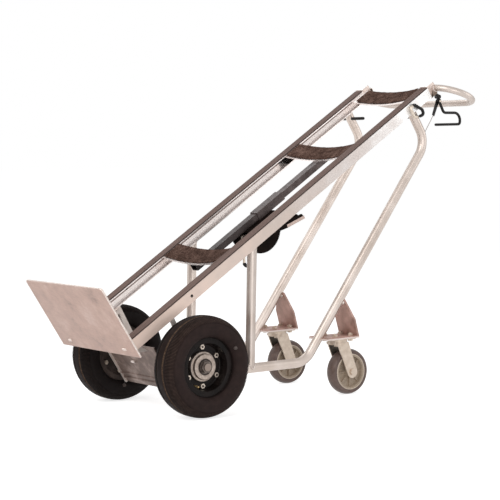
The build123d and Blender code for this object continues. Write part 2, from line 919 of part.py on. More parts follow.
cradle = cradle - pin_y(
    reel_along, spindle_h, spindle_radius + running, -reel_half - 1, reel_half + 1
)
save("ratchet_frame", on_rail(cradle))

# Strap hook hanging plumb from the frame pin
hook_x, hook_z = spot(hook_along, hook_out)
hook_wire = 3.5
hook_drop = 66.0
hook_bowl = 11.0
hook_cheek = hook_wire + 0.5
hook_eye = pin_y(hook_x, hook_z, hook_pin + 5.5, -hook_cheek, hook_cheek)
hook_wire_points = [
    (hook_x, 0, hook_z - hook_pin - 3),
    (hook_x, 0, hook_z - hook_drop - hook_bowl),
    (hook_x + 2 * hook_bowl, 0, hook_z - hook_drop - hook_bowl),
    (hook_x + 2 * hook_bowl, 0, hook_z - hook_drop + hook_bowl),
]
hook = hook_eye + bent(hook_wire_points, hook_bowl - 0.5, hook_wire)
hook = hook - pin_y(hook_x, hook_z, hook_pin + slip, -hook_cheek - 1, hook_cheek + 1)
save("strap_hook", hook)

# Toothed drum on the spindle
lever_gap = 0.5
arm_inner = reel_half + lever_gap
arm_outer = arm_inner + reel_wall
strap_half_width = 17.5
tooth_inner = strap_half_width + 0.6
tooth_outer = reel_half - reel_wall - 0.6
tooth_points = []
for i in range(tooth_count):
    start = 2 * pi * i / tooth_count
    stop = start + 2 * pi / tooth_count * 0.92
    tooth_points.append((tooth_tip * cos(start), tooth_tip * sin(start)))
    tooth_points.append((tooth_root * cos(stop), tooth_root * sin(stop)))
tooth_ring = slab_y(tooth_points, tooth_inner, tooth_outer)
drum = pin_y(0, 0, spindle_radius, -arm_outer - 3, arm_outer + 3)
for end in (-1, 1):
    near_end = end * (arm_outer + slip)
    far_end = end * (arm_outer + 3.5)
    drum = drum + pin_y(0, 0, spindle_radius + 4, min(near_end, far_end), max(near_end, far_end))
drum = drum + tooth_ring + mirror(tooth_ring, about=Plane.XZ)
at_drum = Pos(reel_along, 0, spindle_h)
save("ratchet_drum", on_rail(at_drum * drum))

# Strap wound on the spindle as one spiral
strap_start = spindle_radius + loose
steps = 20
spiral_low = []
spiral_high = []
for i in range(strap_turns * steps + 1):
    turn = i / steps
    radius = strap_start + strap_pitch * turn
    spiral_low.append((radius * cos(2 * pi * turn), radius * sin(2 * pi * turn)))
    outer = radius + strap_thickness
    spiral_high.append((outer * cos(2 * pi * turn), outer * sin(2 * pi * turn)))
strap_roll = slab_y(spiral_low + spiral_high[::-1], -strap_half_width, strap_half_width)
save("strap_roll", on_rail(at_drum * strap_roll))
least_gap = (strap_pitch - strap_thickness) * cos(pi / steps)
print("strap_roll least gap to itself", round(least_gap, 3), "mm")

# Ratchet lever: two arms, a bare handle plate and a dark grip
handle_mid = (reel_along + handle_along_reel, spindle_h - handle_under_reel)
handle_start = handle_mid[0] - handle_length / 2
handle_stop = handle_mid[0] + handle_length / 2
lever_outline = [
    (reel_along, spindle_h + arm_half),
    (handle_start, handle_mid[1] + arm_rise),
    (handle_stop - tip_bevel, handle_mid[1] + tip_rise),
    (handle_stop, handle_mid[1] - tip_fall),
    (handle_start, handle_mid[1] + handle_plate),
    (reel_along + arm_neck, spindle_h - arm_half),
    (reel_along, spindle_h - arm_half),
]
arm = slab_y(lever_outline, arm_inner, arm_outer)
arm = arm + pin_y(reel_along, spindle_h, spindle_radius + arm_boss, arm_inner, arm_outer)
arm = arm - pin_y(reel_along, spindle_h, spindle_radius + running, arm_inner - 1, arm_outer + 1)
tilt = Pos(handle_mid[0], 0, handle_mid[1]) * Rot(0, handle_tilt, 0)
plate_half = handle_plate / 2
tray = tilt * block(
    -handle_length / 2, handle_length / 2, -arm_outer, arm_outer, -plate_half, plate_half
)
ratchet_lever = arm + mirror(arm, about=Plane.XZ) + tray
save("ratchet_lever", on_rail(ratchet_lever))
grip = block(
    -handle_length / 2 + grip_margin,
    handle_length / 2 - grip_stop,
    -arm_inner + slip,
    arm_inner - slip,
    plate_half + seat,
    plate_half + grip_height,
)
grip = fillet(grip.edges().group_by(Axis.Z)[-1], grip_round)
save("lever_grip", on_rail(tilt * grip))

# Belt anchor inside the right channel, under the middle crossmember
anchor_low = member_places["middle"] - member_width / 2 + anchor_setback
anchor_top = member_top - member_thickness - anchor_under
anchor = block(
    anchor_low,
    anchor_low + anchor_length,
    rail_inner + anchor_clear,
    rail_outer - rail_wall,
    rail_back + rail_wall,
    anchor_top,
)
anchor = anchor - block(
    anchor_low + anchor_slot_start,
    anchor_low + anchor_slot_end,
    rail_inner + anchor_slot_near,
    rail_inner + anchor_slot_far,
    rail_back,
    anchor_top + 1,
)
save("belt_anchor", on_rail(anchor))

# Tie eyes: a rod through each side frame with a closed wire loop outside
eye_plane = rail_outer + eye_stand
eye_points = [
    (eye_along, tube_side - eye_tail, eye_out),
    (eye_along, eye_plane, eye_out),
    (eye_along - 2 * eye_bend, eye_plane, eye_out + eye_bend),
    (eye_along - 2 * eye_bend, eye_plane, eye_out + 5.3 * eye_bend),
    (eye_along + 0.6 * eye_bend, eye_plane, eye_out + 5.3 * eye_bend),
    (eye_along + 3.2 * eye_bend, eye_plane, eye_out + 1.5 * eye_bend),
    (eye_along + 3 * eye_bend, eye_plane, eye_out - 0.7 * eye_bend),
    (eye_along + 0.8 * eye_bend, eye_plane, eye_out - 0.2 * eye_bend),
]
tie_eye = bent(eye_points, eye_bend, eye_wire)
save_pair("tie_eye", on_rail(tie_eye))

# Lug and bolt that carry the squeeze lever under the left end block
lever_eye = lever_bolt + lever_eye_wall
lever_eye_low = lever_y - lever_eye_half
lever_eye_high = lever_y + lever_eye_half
lug_y = lever_eye_low - slip
lug_points = [
    (block_end - lug_root, block_low),
    (block_end, block_low),
    (pivot_along + lever_eye, pivot_out),
    (pivot_along - lever_eye, pivot_out),
]
lug = on_rail(slab_y(lug_points, lug_y - lug_wall, lug_y))
lug = lug + pin_y(pivot_x, pivot_z, lever_eye, lug_y - lug_wall, lug_y)
bolt_head = lever_eye_high + slip
lug = lug + pin_y(pivot_x, pivot_z, lever_bolt, lug_y - lug_wall, bolt_head)
lug = lug + hexagon_y(pivot_x, pivot_z, 2 * lever_bolt, bolt_head, bolt_head + lever_bolt)
save("lever_lug", lug)

# Squeeze lever: bent wire with two eyes and a grip across under the handle
crank_z = clevis_z - crank_drop
knee_x = clevis_x + knee_back
grip_z = clevis_z - grip_drop
lever_points = [
    (pivot_x + pin_back / 3, lever_y, pivot_z - pin_drop / 3),
    (clevis_x, lever_y, clevis_z),
    (clevis_x + crank_back, lever_y, crank_z),
    (knee_x, lever_y, crank_z),
    (knee_x, lever_y, grip_z),
    (knee_x, lever_y + lever_grip_length, grip_z),
]
lever = bent(lever_points, [lever_wire, crank_bend, knee_bend, grip_bend], lever_wire)
lever_eyes = [(pivot_x, pivot_z), (clevis_x, clevis_z)]
for x, z in lever_eyes:
    lever = lever + pin_y(x, z, lever_eye, lever_eye_low, lever_eye_high)
for x, z in lever_eyes:
    lever = lever - pin_y(x, z, lever_bolt + running, lever_eye_low - 1, lever_eye_high + 1)
save("release_lever", lever)

# Clevis link and the straight cable that runs into the side frame
clevis_high = clevis_y + link_wall
clevis = slab_y(
    [
        (clevis_x - link_side, clevis_z + link_side / 2),
        (clevis_x + link_side, clevis_z - link_side / 2),
        (cable_top[0] - link_end * cable_dir[1], cable_top[1] + link_end * cable_dir[0]),
        (cable_top[0] + link_end * cable_dir[1], cable_top[1] - link_end * cable_dir[0]),
    ],
    clevis_y,
    clevis_high,
)
clevis = clevis + pin_y(clevis_x, clevis_z, lever_eye, clevis_y, clevis_high)
clevis = clevis + pin_y(clevis_x, clevis_z, lever_bolt, lever_eye_low - link_wall / 2, clevis_high)
save("cable_clevis", clevis)
cable = cable_line * Pos(0, 0, slip) * Cylinder(
    cable_radius, cable_run + cable_tail, align=(Align.CENTER, Align.CENTER, Align.MIN)
)
save("release_cable", cable)

print("axle", round(axle_x, 2), "tube side", round(tube_side, 2))
print("drum", spot(reel_along, spindle_h), "hook", (hook_x, hook_z))
print("lever pivot", (pivot_x, lever_y, pivot_z), "clevis", (clevis_x, clevis_z))
print("caster swivel", caster_x, caster_y, "wheel", wheel_x)
print("eye middle", spot(eye_along + 0.3 * eye_bend, eye_out + 2.6 * eye_bend))
print("nose underside", spot(nose_low, (nose_heel + nose_tip) / 2))
print("rail hole", spot(rail_hole_along, rail_centre))
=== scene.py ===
import json
import math
import bmesh
import bpy
import numpy as np
from mathutils import Matrix, Vector


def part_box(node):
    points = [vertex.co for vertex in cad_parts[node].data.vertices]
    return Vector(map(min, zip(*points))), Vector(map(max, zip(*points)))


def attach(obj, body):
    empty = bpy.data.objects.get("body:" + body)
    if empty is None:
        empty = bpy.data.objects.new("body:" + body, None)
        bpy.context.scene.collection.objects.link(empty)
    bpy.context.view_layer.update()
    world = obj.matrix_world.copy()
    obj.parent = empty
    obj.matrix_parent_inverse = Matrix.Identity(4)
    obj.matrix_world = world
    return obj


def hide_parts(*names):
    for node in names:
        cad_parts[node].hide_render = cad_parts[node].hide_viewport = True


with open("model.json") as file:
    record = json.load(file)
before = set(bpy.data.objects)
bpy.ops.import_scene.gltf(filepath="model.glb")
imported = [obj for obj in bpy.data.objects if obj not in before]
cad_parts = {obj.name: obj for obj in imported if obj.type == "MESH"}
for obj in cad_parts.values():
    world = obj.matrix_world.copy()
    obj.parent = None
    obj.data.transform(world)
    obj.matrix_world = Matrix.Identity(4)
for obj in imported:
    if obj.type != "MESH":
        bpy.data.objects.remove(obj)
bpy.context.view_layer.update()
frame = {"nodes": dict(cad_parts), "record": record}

# Rails: two extruded aluminium channels, open towards each other, standing on the nose plate.
# Unpainted, satin and faintly streaked outside, with painted light that brightens them towards the top end;
# inside the channel a brighter finish with painted light, and a painted shade line along the front corner.
nodes = frame["nodes"]
ways = {"left": -1, "right": 1}
lean = math.radians(32.3)
rail_turn = (0, -lean, 0)
axle = np.mean(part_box("axle"), axis=0)
along_rail = np.array([math.cos(lean), 0.0, math.sin(lean)])
across = np.array([0.0, 1.0, 0.0])
out_rail = np.array([-math.sin(lean), 0.0, math.cos(lean)])
rail_sheet, web_margin, web_skin, corner_shade_width = 0.0025, 0.0003, 0.0015, 0.0194


def at_rail(along, side, out):
    """A place given along the rails from the axle, across, and out from them, as standing X, Y and Z."""
    steps = np.stack(np.broadcast_arrays(along, side, out), axis=-1)
    return axle + steps @ np.stack([along_rail, across, out_rail])


def rail_box(node):
    """A CAD node's lowest and highest corner along, across and out from the rails."""
    mesh = nodes[node].data
    spots = np.empty(3 * len(mesh.vertices))
    mesh.vertices.foreach_get("co", spots)
    spots = (spots.reshape(-1, 3) - axle) @ np.stack([along_rail, across, out_rail], axis=1)
    return spots.min(axis=0), spots.max(axis=0)


def new_skin(name):
    """A new material; returns it with its node tree."""
    skin = bpy.data.materials.new(name)
    skin.use_nodes = True
    return skin, skin.node_tree


def feed(tree, socket, value):
    """Links an output into a socket, or sets a plain value there; a colour is made opaque."""
    if isinstance(value, bpy.types.NodeSocket):
        tree.links.new(value, socket)
    else:
        socket.default_value = (*value, 1) if socket.type == "RGBA" else value


def filled(tree, kind, values):
    """A new shader node with its sockets fed by name or number; returns the node."""
    made = tree.nodes.new("ShaderNode" + kind)
    for key, value in values.items():
        feed(tree, made.inputs[key], value)
    return made


def place_in(tree, stretch=(1, 1, 1), turn=(0, 0, 0)):
    """Object coordinates in a turned frame, a pattern in them drawn out by stretch; returns the socket."""
    where = filled(tree, "TexCoord", {}).outputs["Object"]
    framed = filled(tree, "Mapping", {"Vector": where, "Rotation": turn, "Scale": stretch})
    framed.vector_type = "TEXTURE"
    return framed.outputs["Vector"]


def noise(tree, scale, detail=4.0, rough=0.55, stretch=(1, 1, 1), turn=(0, 0, 0)):
    """Fractal noise over the object, drawn out by stretch in a turned frame; returns its grey socket."""
    vector = place_in(tree, stretch, turn)
    values = {"Vector": vector, "Scale": scale, "Detail": detail, "Roughness": rough}
    return filled(tree, "TexNoise", values).outputs["Fac"]


def ramp(tree, grey, stops):
    """Colours placed along a grey value; returns the colour socket."""
    band = filled(tree, "ValToRGB", {"Fac": grey})
    row = band.color_ramp.elements
    while len(row) < len(stops):
        row.new(0.5)
    for step, (spot, colour) in zip(row, stops):
        step.position = spot
        step.color = (*colour, 1)
    return band.outputs["Color"]


def span(tree, grey, low, high, start=0.3, stop=0.7):
    """A grey value between start and stop carried evenly to a range from low to high; returns the socket."""
    values = {"Value": grey, "From Min": start, "From Max": stop, "To Min": low, "To Max": high}
    return filled(tree, "MapRange", values).outputs["Result"]


def reckon(tree, operation, *values):
    """One step of arithmetic on grey values or plain numbers; returns the socket."""
    step = tree.nodes.new("ShaderNodeMath")
    step.operation = operation
    for socket, value in zip(step.inputs, values):
        feed(tree, socket, value)
    return step.outputs[0]


def coordinate(tree, axis, turn=(0, 0, 0)):
    """One Object coordinate in a turned frame; returns the socket."""
    return filled(tree, "SeparateXYZ", {"Vector": place_in(tree, turn=turn)}).outputs[axis]


def part_of(tree, axis, low, high, turn=(0, 0, 0)):
    """1 where a coordinate's distance from zero lies between two values, else 0; returns the socket."""
    far = reckon(tree, "ABSOLUTE", coordinate(tree, axis, turn))
    return reckon(tree, "COMPARE", far, (low + high) / 2, (high - low) / 2)


def painted(tree, ground, share, colour):
    """A second colour laid over a first where a share is 1; returns the colour socket."""
    over = tree.nodes.new("ShaderNodeMix")
    over.data_type = "RGBA"
    factor, first, second = over.inputs[0], over.inputs[6], over.inputs[7]
    for socket, value in ((factor, share), (first, ground), (second, colour)):
        feed(tree, socket, value)
    return over.outputs[2]


def coat(tree, colour, roughness, metallic=0.0, specular=0.5, relief=()):
    """Feeds a material's Principled shader with plain values or sockets; relief is a grey value with the
    strength and the depth in metres of the bumps that it raises."""
    shader = tree.nodes["Principled BSDF"]
    values = {"Base Color": colour, "Roughness": roughness, "Metallic": metallic}
    values["Specular IOR Level"] = specular
    if relief:
        bumps = filled(tree, "Bump", dict(zip(("Height", "Strength", "Distance"), relief)))
        values["Normal"] = bumps.outputs["Normal"]
    for name, value in values.items():
        feed(tree, shader.inputs[name], value)


def dress(names, skin):
    """Gives CAD nodes one material."""
    for name in names:
        nodes[name].data.materials.clear()
        nodes[name].data.materials.append(skin)


def both(*names):
    """Each name followed by its side, left and right."""
    return [f"{name}_{side}" for name in names for side in ways]


rail_low, rail_high = rail_box("rail_right")
rail_start, rail_front = axle @ along_rail, rail_high[2] + axle @ out_rail
web_inside = rail_high[1] - rail_sheet + web_margin
drawn, tree = new_skin("drawn_aluminium")
lines = noise(tree, 3.0, 2.0, stretch=(1.0, 0.05, 0.05), turn=rail_turn)
stain = noise(tree, 14.0, 2.0)
streaked = reckon(tree, "ADD", stain, span(tree, lines, -0.06, 0.06))
# Painted light: the colour climbs from darker at the rail foot to near white at the top end.
climb = span(tree, coordinate(tree, "X", rail_turn), 0.0, 1.0, rail_start, rail_start + rail_high[0])
painted_light_climb = reckon(tree, "ADD", climb, span(tree, streaked, -0.1, 0.1))
satin_low = [(0.0, (0.84, 0.66, 0.57)), (0.4, (0.63, 0.53, 0.475))]
satin_high = [(0.72, (0.72, 0.655, 0.625)), (0.9, (1.0, 0.985, 0.97))]
satin = ramp(tree, painted_light_climb, satin_low + satin_high)
# Brighter finish and painted light inside the channel: lighter there, and near white on the web's inner
# face.
inside = part_of(tree, "Y", 0.0, web_inside)
on_web = part_of(tree, "Y", web_inside - web_skin, web_inside)
# Painted shade: a dark line on the web's inner face along the front corner, where the flange shades it.
in_corner = part_of(tree, "Z", rail_front - corner_shade_width, rail_front, rail_turn)
bright = painted(tree, painted(tree, satin, inside, (0.92, 0.85, 0.82)), on_web, (1.0, 0.985, 0.975))
corner_shaded = painted(tree, bright, reckon(tree, "MULTIPLY", on_web, in_corner), (0.24, 0.195, 0.18))
coat(tree, corner_shaded, span(tree, on_web, 0.4, 0.16, 0.0, 1.0), span(tree, inside, 0.4, 0.9, 0.0, 1.0))
dress(both("rail"), drawn)

# Rub strips: grey-brown grained plastic, 3 mm thick, glued along the front of each rail.
# Their long edges are cut square and painted darker, as shade beside the rail.
edge_line = 0.0007
strip_low, strip_high = rail_box("rub_strip_right")
grained, tree = new_skin("grained_strip")
grain = noise(tree, 500.0, 3.0)
long_wear = noise(tree, 6.0, 3.0, stretch=(1, 0.03, 0.03), turn=rail_turn)
worn_grain = reckon(tree, "ADD", grain, span(tree, long_wear, -0.1, 0.1))
# Painted shade: the long edge faces are darker than the top.
strip_edge_shade = ramp(tree, grain, [(0.3, (0.06, 0.042, 0.037)), (0.7, (0.10, 0.072, 0.065))])
strip_top = ramp(tree, worn_grain, [(0.3, (0.132, 0.084, 0.071)), (0.7, (0.236, 0.16, 0.138))])
on_top = part_of(tree, "Y", strip_low[1] + edge_line, strip_high[1] - edge_line)
coat(tree, painted(tree, strip_edge_shade, on_top, strip_top), 0.7, 0.0, 0.15, (grain, 0.25, 0.0003))
dress(both("rub_strip"), grained)

# Crossmembers: three aluminium sheets bowed away from the load, their tabs inside the channels.
# Each carries a pad of dense dark brown felt, glued on and worn to a short nap.
dress(["crossmember_lower", "crossmember_middle", "crossmember_upper"], drawn)
felt_thickness, felt_sag, felt_lump, felt_edge = 0.005, 0.013, 0.00035, 0.004
felt_pinch, nap_from = 0.3, 0.3
felt_short = {"lower": 0.0, "middle": 0.0, "upper": 0.015}
wave_count, wave_shortest, wave_longest = 40, 0.004, 0.03


def woven(points, ring=False, loop=False):
    """A grid of points as corners and quads: rows joined round when ring, and first to last when loop."""
    index = np.arange(points.shape[0] * points.shape[1]).reshape(points.shape[:2])
    if ring:
        index = np.hstack([index, index[:, :1]])
    if loop:
        index = np.vstack([index, index[:1]])
    quads = np.stack([index[:-1, :-1], index[:-1, 1:], index[1:, 1:], index[1:, :-1]], axis=-1)
    return points.reshape(-1, 3), quads.reshape(-1, 4)


def solid(points):
    """Rings of points woven together, closed by one more row at each end drawn to the ring's middle."""
    first = np.broadcast_to(points[:1].mean(axis=1, keepdims=True), points[:1].shape)
    last = np.broadcast_to(points[-1:].mean(axis=1, keepdims=True), points[-1:].shape)
    return woven(np.concatenate([first, points, last]), ring=True)


def placed(name, data):
    """A new object in the scene."""
    made = bpy.data.objects.new(name, data)
    bpy.context.scene.collection.objects.link(made)
    return made


def piece(name, forms, skin, body, stands_for=(), crease=40.0):
    """One object from corners and quads, doubles merged, faces out, smooth up to the crease angle."""
    counts = np.cumsum([0] + [len(corners) for corners, quads in forms])
    corners = np.concatenate([form[0] for form in forms])
    quads = np.concatenate([form[1] + start for form, start in zip(forms, counts)])
    mesh = bpy.data.meshes.new(name)
    mesh.from_pydata(corners.tolist(), [], quads.tolist())
    merged = bmesh.new()
    merged.from_mesh(mesh)
    bmesh.ops.remove_doubles(merged, verts=merged.verts, dist=1e-6)
    bmesh.ops.recalc_face_normals(merged, faces=merged.faces)
    merged.to_mesh(mesh)
    merged.free()
    mesh.polygons.foreach_set("use_smooth", np.ones(len(mesh.polygons), dtype=bool))
    mesh.set_sharp_from_angle(angle=math.radians(crease))
    mesh.materials.append(skin)
    made = placed(name, mesh)
    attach(made, body)
    if stands_for:
        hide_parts(*stands_for)
    return made


def lumps(along, side, seed):
    """A sum of long and short waves in seeded directions, about -1 to 1."""
    waves = np.random.default_rng(seed)
    pitch = waves.uniform(wave_shortest, wave_longest, wave_count)
    turn = waves.uniform(0, 2 * math.pi, wave_count)
    phase = waves.uniform(0, 2 * math.pi, wave_count)
    run = along[..., None] * np.cos(turn) + side[..., None] * np.sin(turn)
    return np.sin(2 * math.pi * run / pitch + phase).sum(axis=-1) / math.sqrt(wave_count)


def felt_pad(node, short, seed):
    """A flat section rounded as |a|^6 wide and |b|^3 thick, carried along the bow of a circle; the nap
    lifts its upper side."""
    low, high = rail_box(node)
    half = high[1] - short
    bow = (high[1] ** 2 + felt_sag**2) / (2 * felt_sag)
    side = half * np.sin(np.linspace(-math.pi / 2, math.pi / 2, 161))
    round_off = np.sqrt(1 - np.clip((np.abs(side) - half + felt_edge) / felt_edge, 0, 1) ** 2)
    turn = np.linspace(0, 2 * math.pi, 64, endpoint=False)
    wide = np.sign(np.cos(turn)) * np.abs(np.cos(turn)) ** (1 / 3)
    thick = np.sign(np.sin(turn)) * np.abs(np.sin(turn)) ** (2 / 3)
    reach = (high[0] - low[0]) / 2 - felt_edge * felt_pinch * (1 - round_off)
    along = (low[0] + high[0]) / 2 + reach[:, None] * wide
    level = high[2] - felt_thickness / 2 - (np.sqrt(bow**2 - side**2) - bow + felt_sag)
    nap = felt_lump * lumps(along, side[:, None], seed) * (thick > nap_from)
    half_thick = felt_thickness / 2 * round_off[:, None] - felt_lump
    return solid(at_rail(along, side[:, None], level[:, None] + half_thick * thick + nap))


def toned(tree, colour, axis, low, high, first, last):
    """The colour times a tone that runs from its first to its last value between two places on an axis."""
    scaled = tree.nodes.new("ShaderNodeVectorMath")
    scaled.operation = "SCALE"
    feed(tree, scaled.inputs[0], colour)
    feed(tree, scaled.inputs["Scale"], span(tree, coordinate(tree, axis), first, last, low, high))
    return scaled.outputs["Vector"]


felt, tree = new_skin("brown_felt")
fibre = noise(tree, 260.0, 6.0, 0.75)
worn = noise(tree, 45.0, 5.0, 0.6)
nap_light = reckon(tree, "ADD", fibre, span(tree, worn, -0.1, 0.1))
nap_stops = [(0.32, (0.030, 0.016, 0.012)), (0.5, (0.115, 0.066, 0.051)), (0.68, (0.29, 0.183, 0.147))]
# Painted shade: the felt is toned darker towards the bottom, so the lowest pad is darker.
nap_tone = toned(tree, ramp(tree, nap_light, nap_stops), "Z", 0.35, 0.5, 0.68, 1.0)
coat(tree, nap_tone, 0.95, 0.0, 0.05, (fibre, 0.7, 0.0012))
for seed, (place, short) in enumerate(felt_short.items()):
    form = felt_pad(f"pad_{place}", short, seed)
    pad = piece(f"felt_{place}", [form], felt, "frame", [f"pad_{place}"], 80)

# Nose plate: one thick aluminium plate welded across the rail feet, rounded at its front corners.
# Loads have scuffed it to a blotched, pinkish mill finish; its edge faces are painted light as a highlight.
nose_round, nose_heel_round, nose_edge, edge_facing = 0.009, 0.002, 0.0018, 0.7


def unit(rows):
    """Each row scaled to length one."""
    return rows / np.maximum(np.linalg.norm(rows, axis=-1, keepdims=True), 1e-12)


def bent_line(corners, bends, steps=10, closed=False):
    """Straight runs joined by arcs: each corner gives way to an arc of its bend, tangent to both runs."""
    before = np.roll(corners, 1, axis=0)
    after = np.roll(corners, -1, axis=0)
    bends = np.broadcast_to(bends, len(corners))
    if not closed:
        before, after, bends = before[1:-1], after[1:-1], bends[1:-1]
    spots = corners if closed else corners[1:-1]
    run_in = unit(spots - before)
    run_out = unit(after - spots)
    lined = np.clip((run_in * run_out).sum(axis=1), -1, 1)
    turn = np.arccos(lined)
    towards = unit(run_out - lined[:, None] * run_in)
    start = spots - (bends * np.tan(turn / 2))[:, None] * run_in
    sweep = turn[:, None] * np.linspace(0, 1, steps)
    ahead = np.sin(sweep)[..., None] * run_in[:, None]
    aside = (1 - np.cos(sweep))[..., None] * towards[:, None]
    arcs = (start[:, None] + bends[:, None, None] * (ahead + aside)).reshape(-1, corners.shape[1])
    return arcs if closed else np.concatenate([corners[:1], arcs, corners[-1:]])


def rounded(low, high, bends, steps):
    """A rectangle between two corners, counter-clockwise from the lowest, each corner an arc of its bend."""
    corners = [(low[0], low[1]), (high[0], low[1]), (high[0], high[1]), (low[0], high[1])]
    return bent_line(np.array(corners), bends, steps, closed=True)


def plate(outline, low, high, edge, place):
    """A closed outline carried between two levels, its edges rolled by quarter circles and its faces drawn
    together to the middle; the outline runs counter-clockwise seen from the high side."""
    step = np.roll(outline, -1, axis=0) - np.roll(outline, 1, axis=0)
    inward = unit(np.stack([-step[:, 1], step[:, 0]], axis=1))
    roll = np.linspace(0, math.pi / 2, 5)
    inset = edge * (1 - np.concatenate([np.sin(roll), np.sin(roll)[::-1]]))
    lift = edge * (1 - np.cos(roll))
    level = np.concatenate([low + lift, (high - lift)[::-1]])
    flat = outline + inward * inset[:, None, None]
    return solid(place(flat[..., 0], flat[..., 1], level[:, None]))


def mottled(name, scale, stops, roughness, metallic=0.0, specular=0.5, relief=(), detail=3.0, rough=0.55):
    """A finish whose colour follows fractal noise; a pair for roughness is a range for the noise to be
    carried to, and relief is the strength and the depth of its bumps."""
    skin, tree = new_skin(name)
    cloud = noise(tree, scale, detail, rough)
    gloss = span(tree, cloud, *roughness) if isinstance(roughness, tuple) else roughness
    bumps = (cloud, *relief) if relief else ()
    coat(tree, ramp(tree, cloud, stops), gloss, metallic, specular, bumps)
    return skin


def face_rows(made, kind):
    """The centres or the normals of a piece's faces, one row each."""
    rows = np.empty(3 * len(made.data.polygons))
    made.data.polygons.foreach_get(kind, rows)
    return rows.reshape(-1, 3)


def more_skins(made, skins, choice):
    """Further materials for a piece; choice numbers each face's material, 0 for the first."""
    for skin in skins:
        made.data.materials.append(skin)
    made.data.polygons.foreach_set("material_index", choice.astype(np.int32))


low, high = rail_box("nose_plate")
nose_outline = rounded(low[1:], high[1:], [nose_heel_round, nose_heel_round, nose_round, nose_round], 12)
nose = plate(nose_outline, low[0], high[0], nose_edge, lambda side, out, along: at_rail(along, side, out))
nose_face = low[0]
scuffed, tree = new_skin("scuffed_plate")
patch = noise(tree, 14.0, 8.0, 0.68)
scratch = noise(tree, 40.0, 5.0, 0.6, (1, 1, 0.07), (0, -lean, 0.4))
scuffs = reckon(tree, "ADD", patch, span(tree, scratch, -0.07, 0.07))
scuff_dark = [(0.28, (0.40, 0.27, 0.225)), (0.42, (0.57, 0.395, 0.335))]
scuff_pale = [(0.56, (0.66, 0.47, 0.40)), (0.72, (0.77, 0.60, 0.54))]
coat(tree, ramp(tree, scuffs, scuff_dark + scuff_pale), span(tree, patch, 0.45, 0.65), 0.2)
nose_sheet = piece("nose_sheet", [nose], scuffed, "frame", ["nose_plate"], 60)
# Painted highlight: the plate's edge faces take a lighter mottle.
highlight_stops = [(0.3, (0.66, 0.54, 0.48)), (0.7, (0.90, 0.82, 0.77))]
pale_highlight = mottled("pale_highlight", 180.0, highlight_stops, 0.4, 0.4, detail=4.0)
on_edge = np.abs(face_rows(nose_sheet, "normal") @ along_rail) < edge_facing
more_skins(nose_sheet, [pale_highlight], on_edge)

# Axle carrier and its side plates: folded and cut aluminium sheet, welded under the rails.
# Weld beads run down the rail feet and along the side plates; they are left as laid, rippled and bright.
# The carrier is mottled, and painted far darker than its side plates as the shade under the nose plate.
smeared_and_shaded = [(0.3, (0.105, 0.07, 0.057)), (0.5, (0.195, 0.136, 0.114)), (0.7, (0.42, 0.325, 0.285))]
carrier_skin = mottled("carrier_sheet", 24.0, smeared_and_shaded, 0.48, 0.4, 0.5, (0.1, 0.0006), 6.0, 0.6)
dress(["axle_carrier"], carrier_skin)
wiped = [(0.3, (0.56, 0.47, 0.42)), (0.7, (0.82, 0.75, 0.70))]
side_skin = mottled("side_plate_sheet", 24.0, wiped, 0.42, 0.4, 0.5, (0.1, 0.0006), 6.0, 0.6)
dress(both("axle_plate"), side_skin)
bead_ripple, bead_swell, bead_drift = 0.0035, 0.16, 0.08
foot_bead, carrier_bead, slot_bead = 0.0026, 0.0034, 0.004
seam_low_end, seam_high_end = 0.012, 0.010
carrier_seam, carrier_seam_out, carrier_seam_lift = np.linspace(0.011, 0.029, 20), 0.0318, 0.0008
slot_seam, slot_seam_out, slot_seam_lift = np.linspace(0.125, 0.142, 20), 0.1466, 0.0016


def carried(section, line, swell=1.0, hint=(0.5, 0.55, 0.67)):
    """A closed section carried along a line: at each point its two directions are a fixed hint made square
    to the run, and the square to both; swell scales the section along the way."""
    run = unit(np.gradient(line, axis=0))
    one = unit(np.asarray(hint) - (run @ np.asarray(hint))[:, None] * run)
    two = np.cross(run, one)
    swell = np.broadcast_to(swell, len(line))[:, None, None]
    return line[:, None] + swell * (section[:, :1] * one[:, None] + section[:, 1:] * two[:, None])


def circle(radius, sides):
    """Points at equal turns round a circle, as cosine and sine times the radius."""
    turn = np.linspace(0, 2 * math.pi, sides, endpoint=False)
    return radius * np.stack([np.cos(turn), np.sin(turn)], axis=1)


def even_line(line, pitch):
    """The same line walked in equal steps of about one pitch."""
    walked = np.concatenate([[0], np.cumsum(np.linalg.norm(np.diff(line, axis=0), axis=1))])
    marks = np.linspace(0, walked[-1], max(int(walked[-1] / pitch), 8) + 1)
    return np.stack([np.interp(marks, walked, line[:, k]) for k in range(3)], axis=1), marks


def bead(line, radius):
    """A round section carried along a seam, swelling as a sine over each ripple and over about six."""
    line, marks = even_line(line, bead_ripple / 5)
    ripple = 1 + bead_swell * np.sin(2 * math.pi * marks / bead_ripple)
    drift = bead_drift * np.sin(marks / bead_ripple)
    return solid(carried(circle(radius, 10), line, ripple + drift))


laid = [(0.35, (0.52, 0.43, 0.385)), (0.65, (0.76, 0.69, 0.65))]
weld_metal = mottled("weld_bead", 160.0, laid, 0.38, 0.6, relief=(0.3, 0.0006))
plate_low, plate_high = rail_box("axle_plate_right")
plate_seam = np.linspace(plate_low[0] + seam_low_end, plate_high[0] - seam_high_end, 30)
foot_side = np.array([rail_low[1], rail_high[1], rail_high[1], rail_low[1]])
foot_out = np.array([rail_low[2], rail_low[2], rail_high[2], rail_high[2]])
foot_welds = []
for way in ways.values():
    foot_welds.append(bead(at_rail(rail_low[0] + foot_bead / 3, way * foot_side, foot_out), foot_bead))
    foot_welds.append(bead(at_rail(plate_seam, way * plate_low[1], plate_high[2]), foot_bead))
carrier_face = rail_box("axle_carrier")[0][0] + carrier_seam_lift
foot_welds.append(bead(at_rail(carrier_face, carrier_seam, carrier_seam_out), carrier_bead))
piece("foot_welds", foot_welds, weld_metal, "frame")
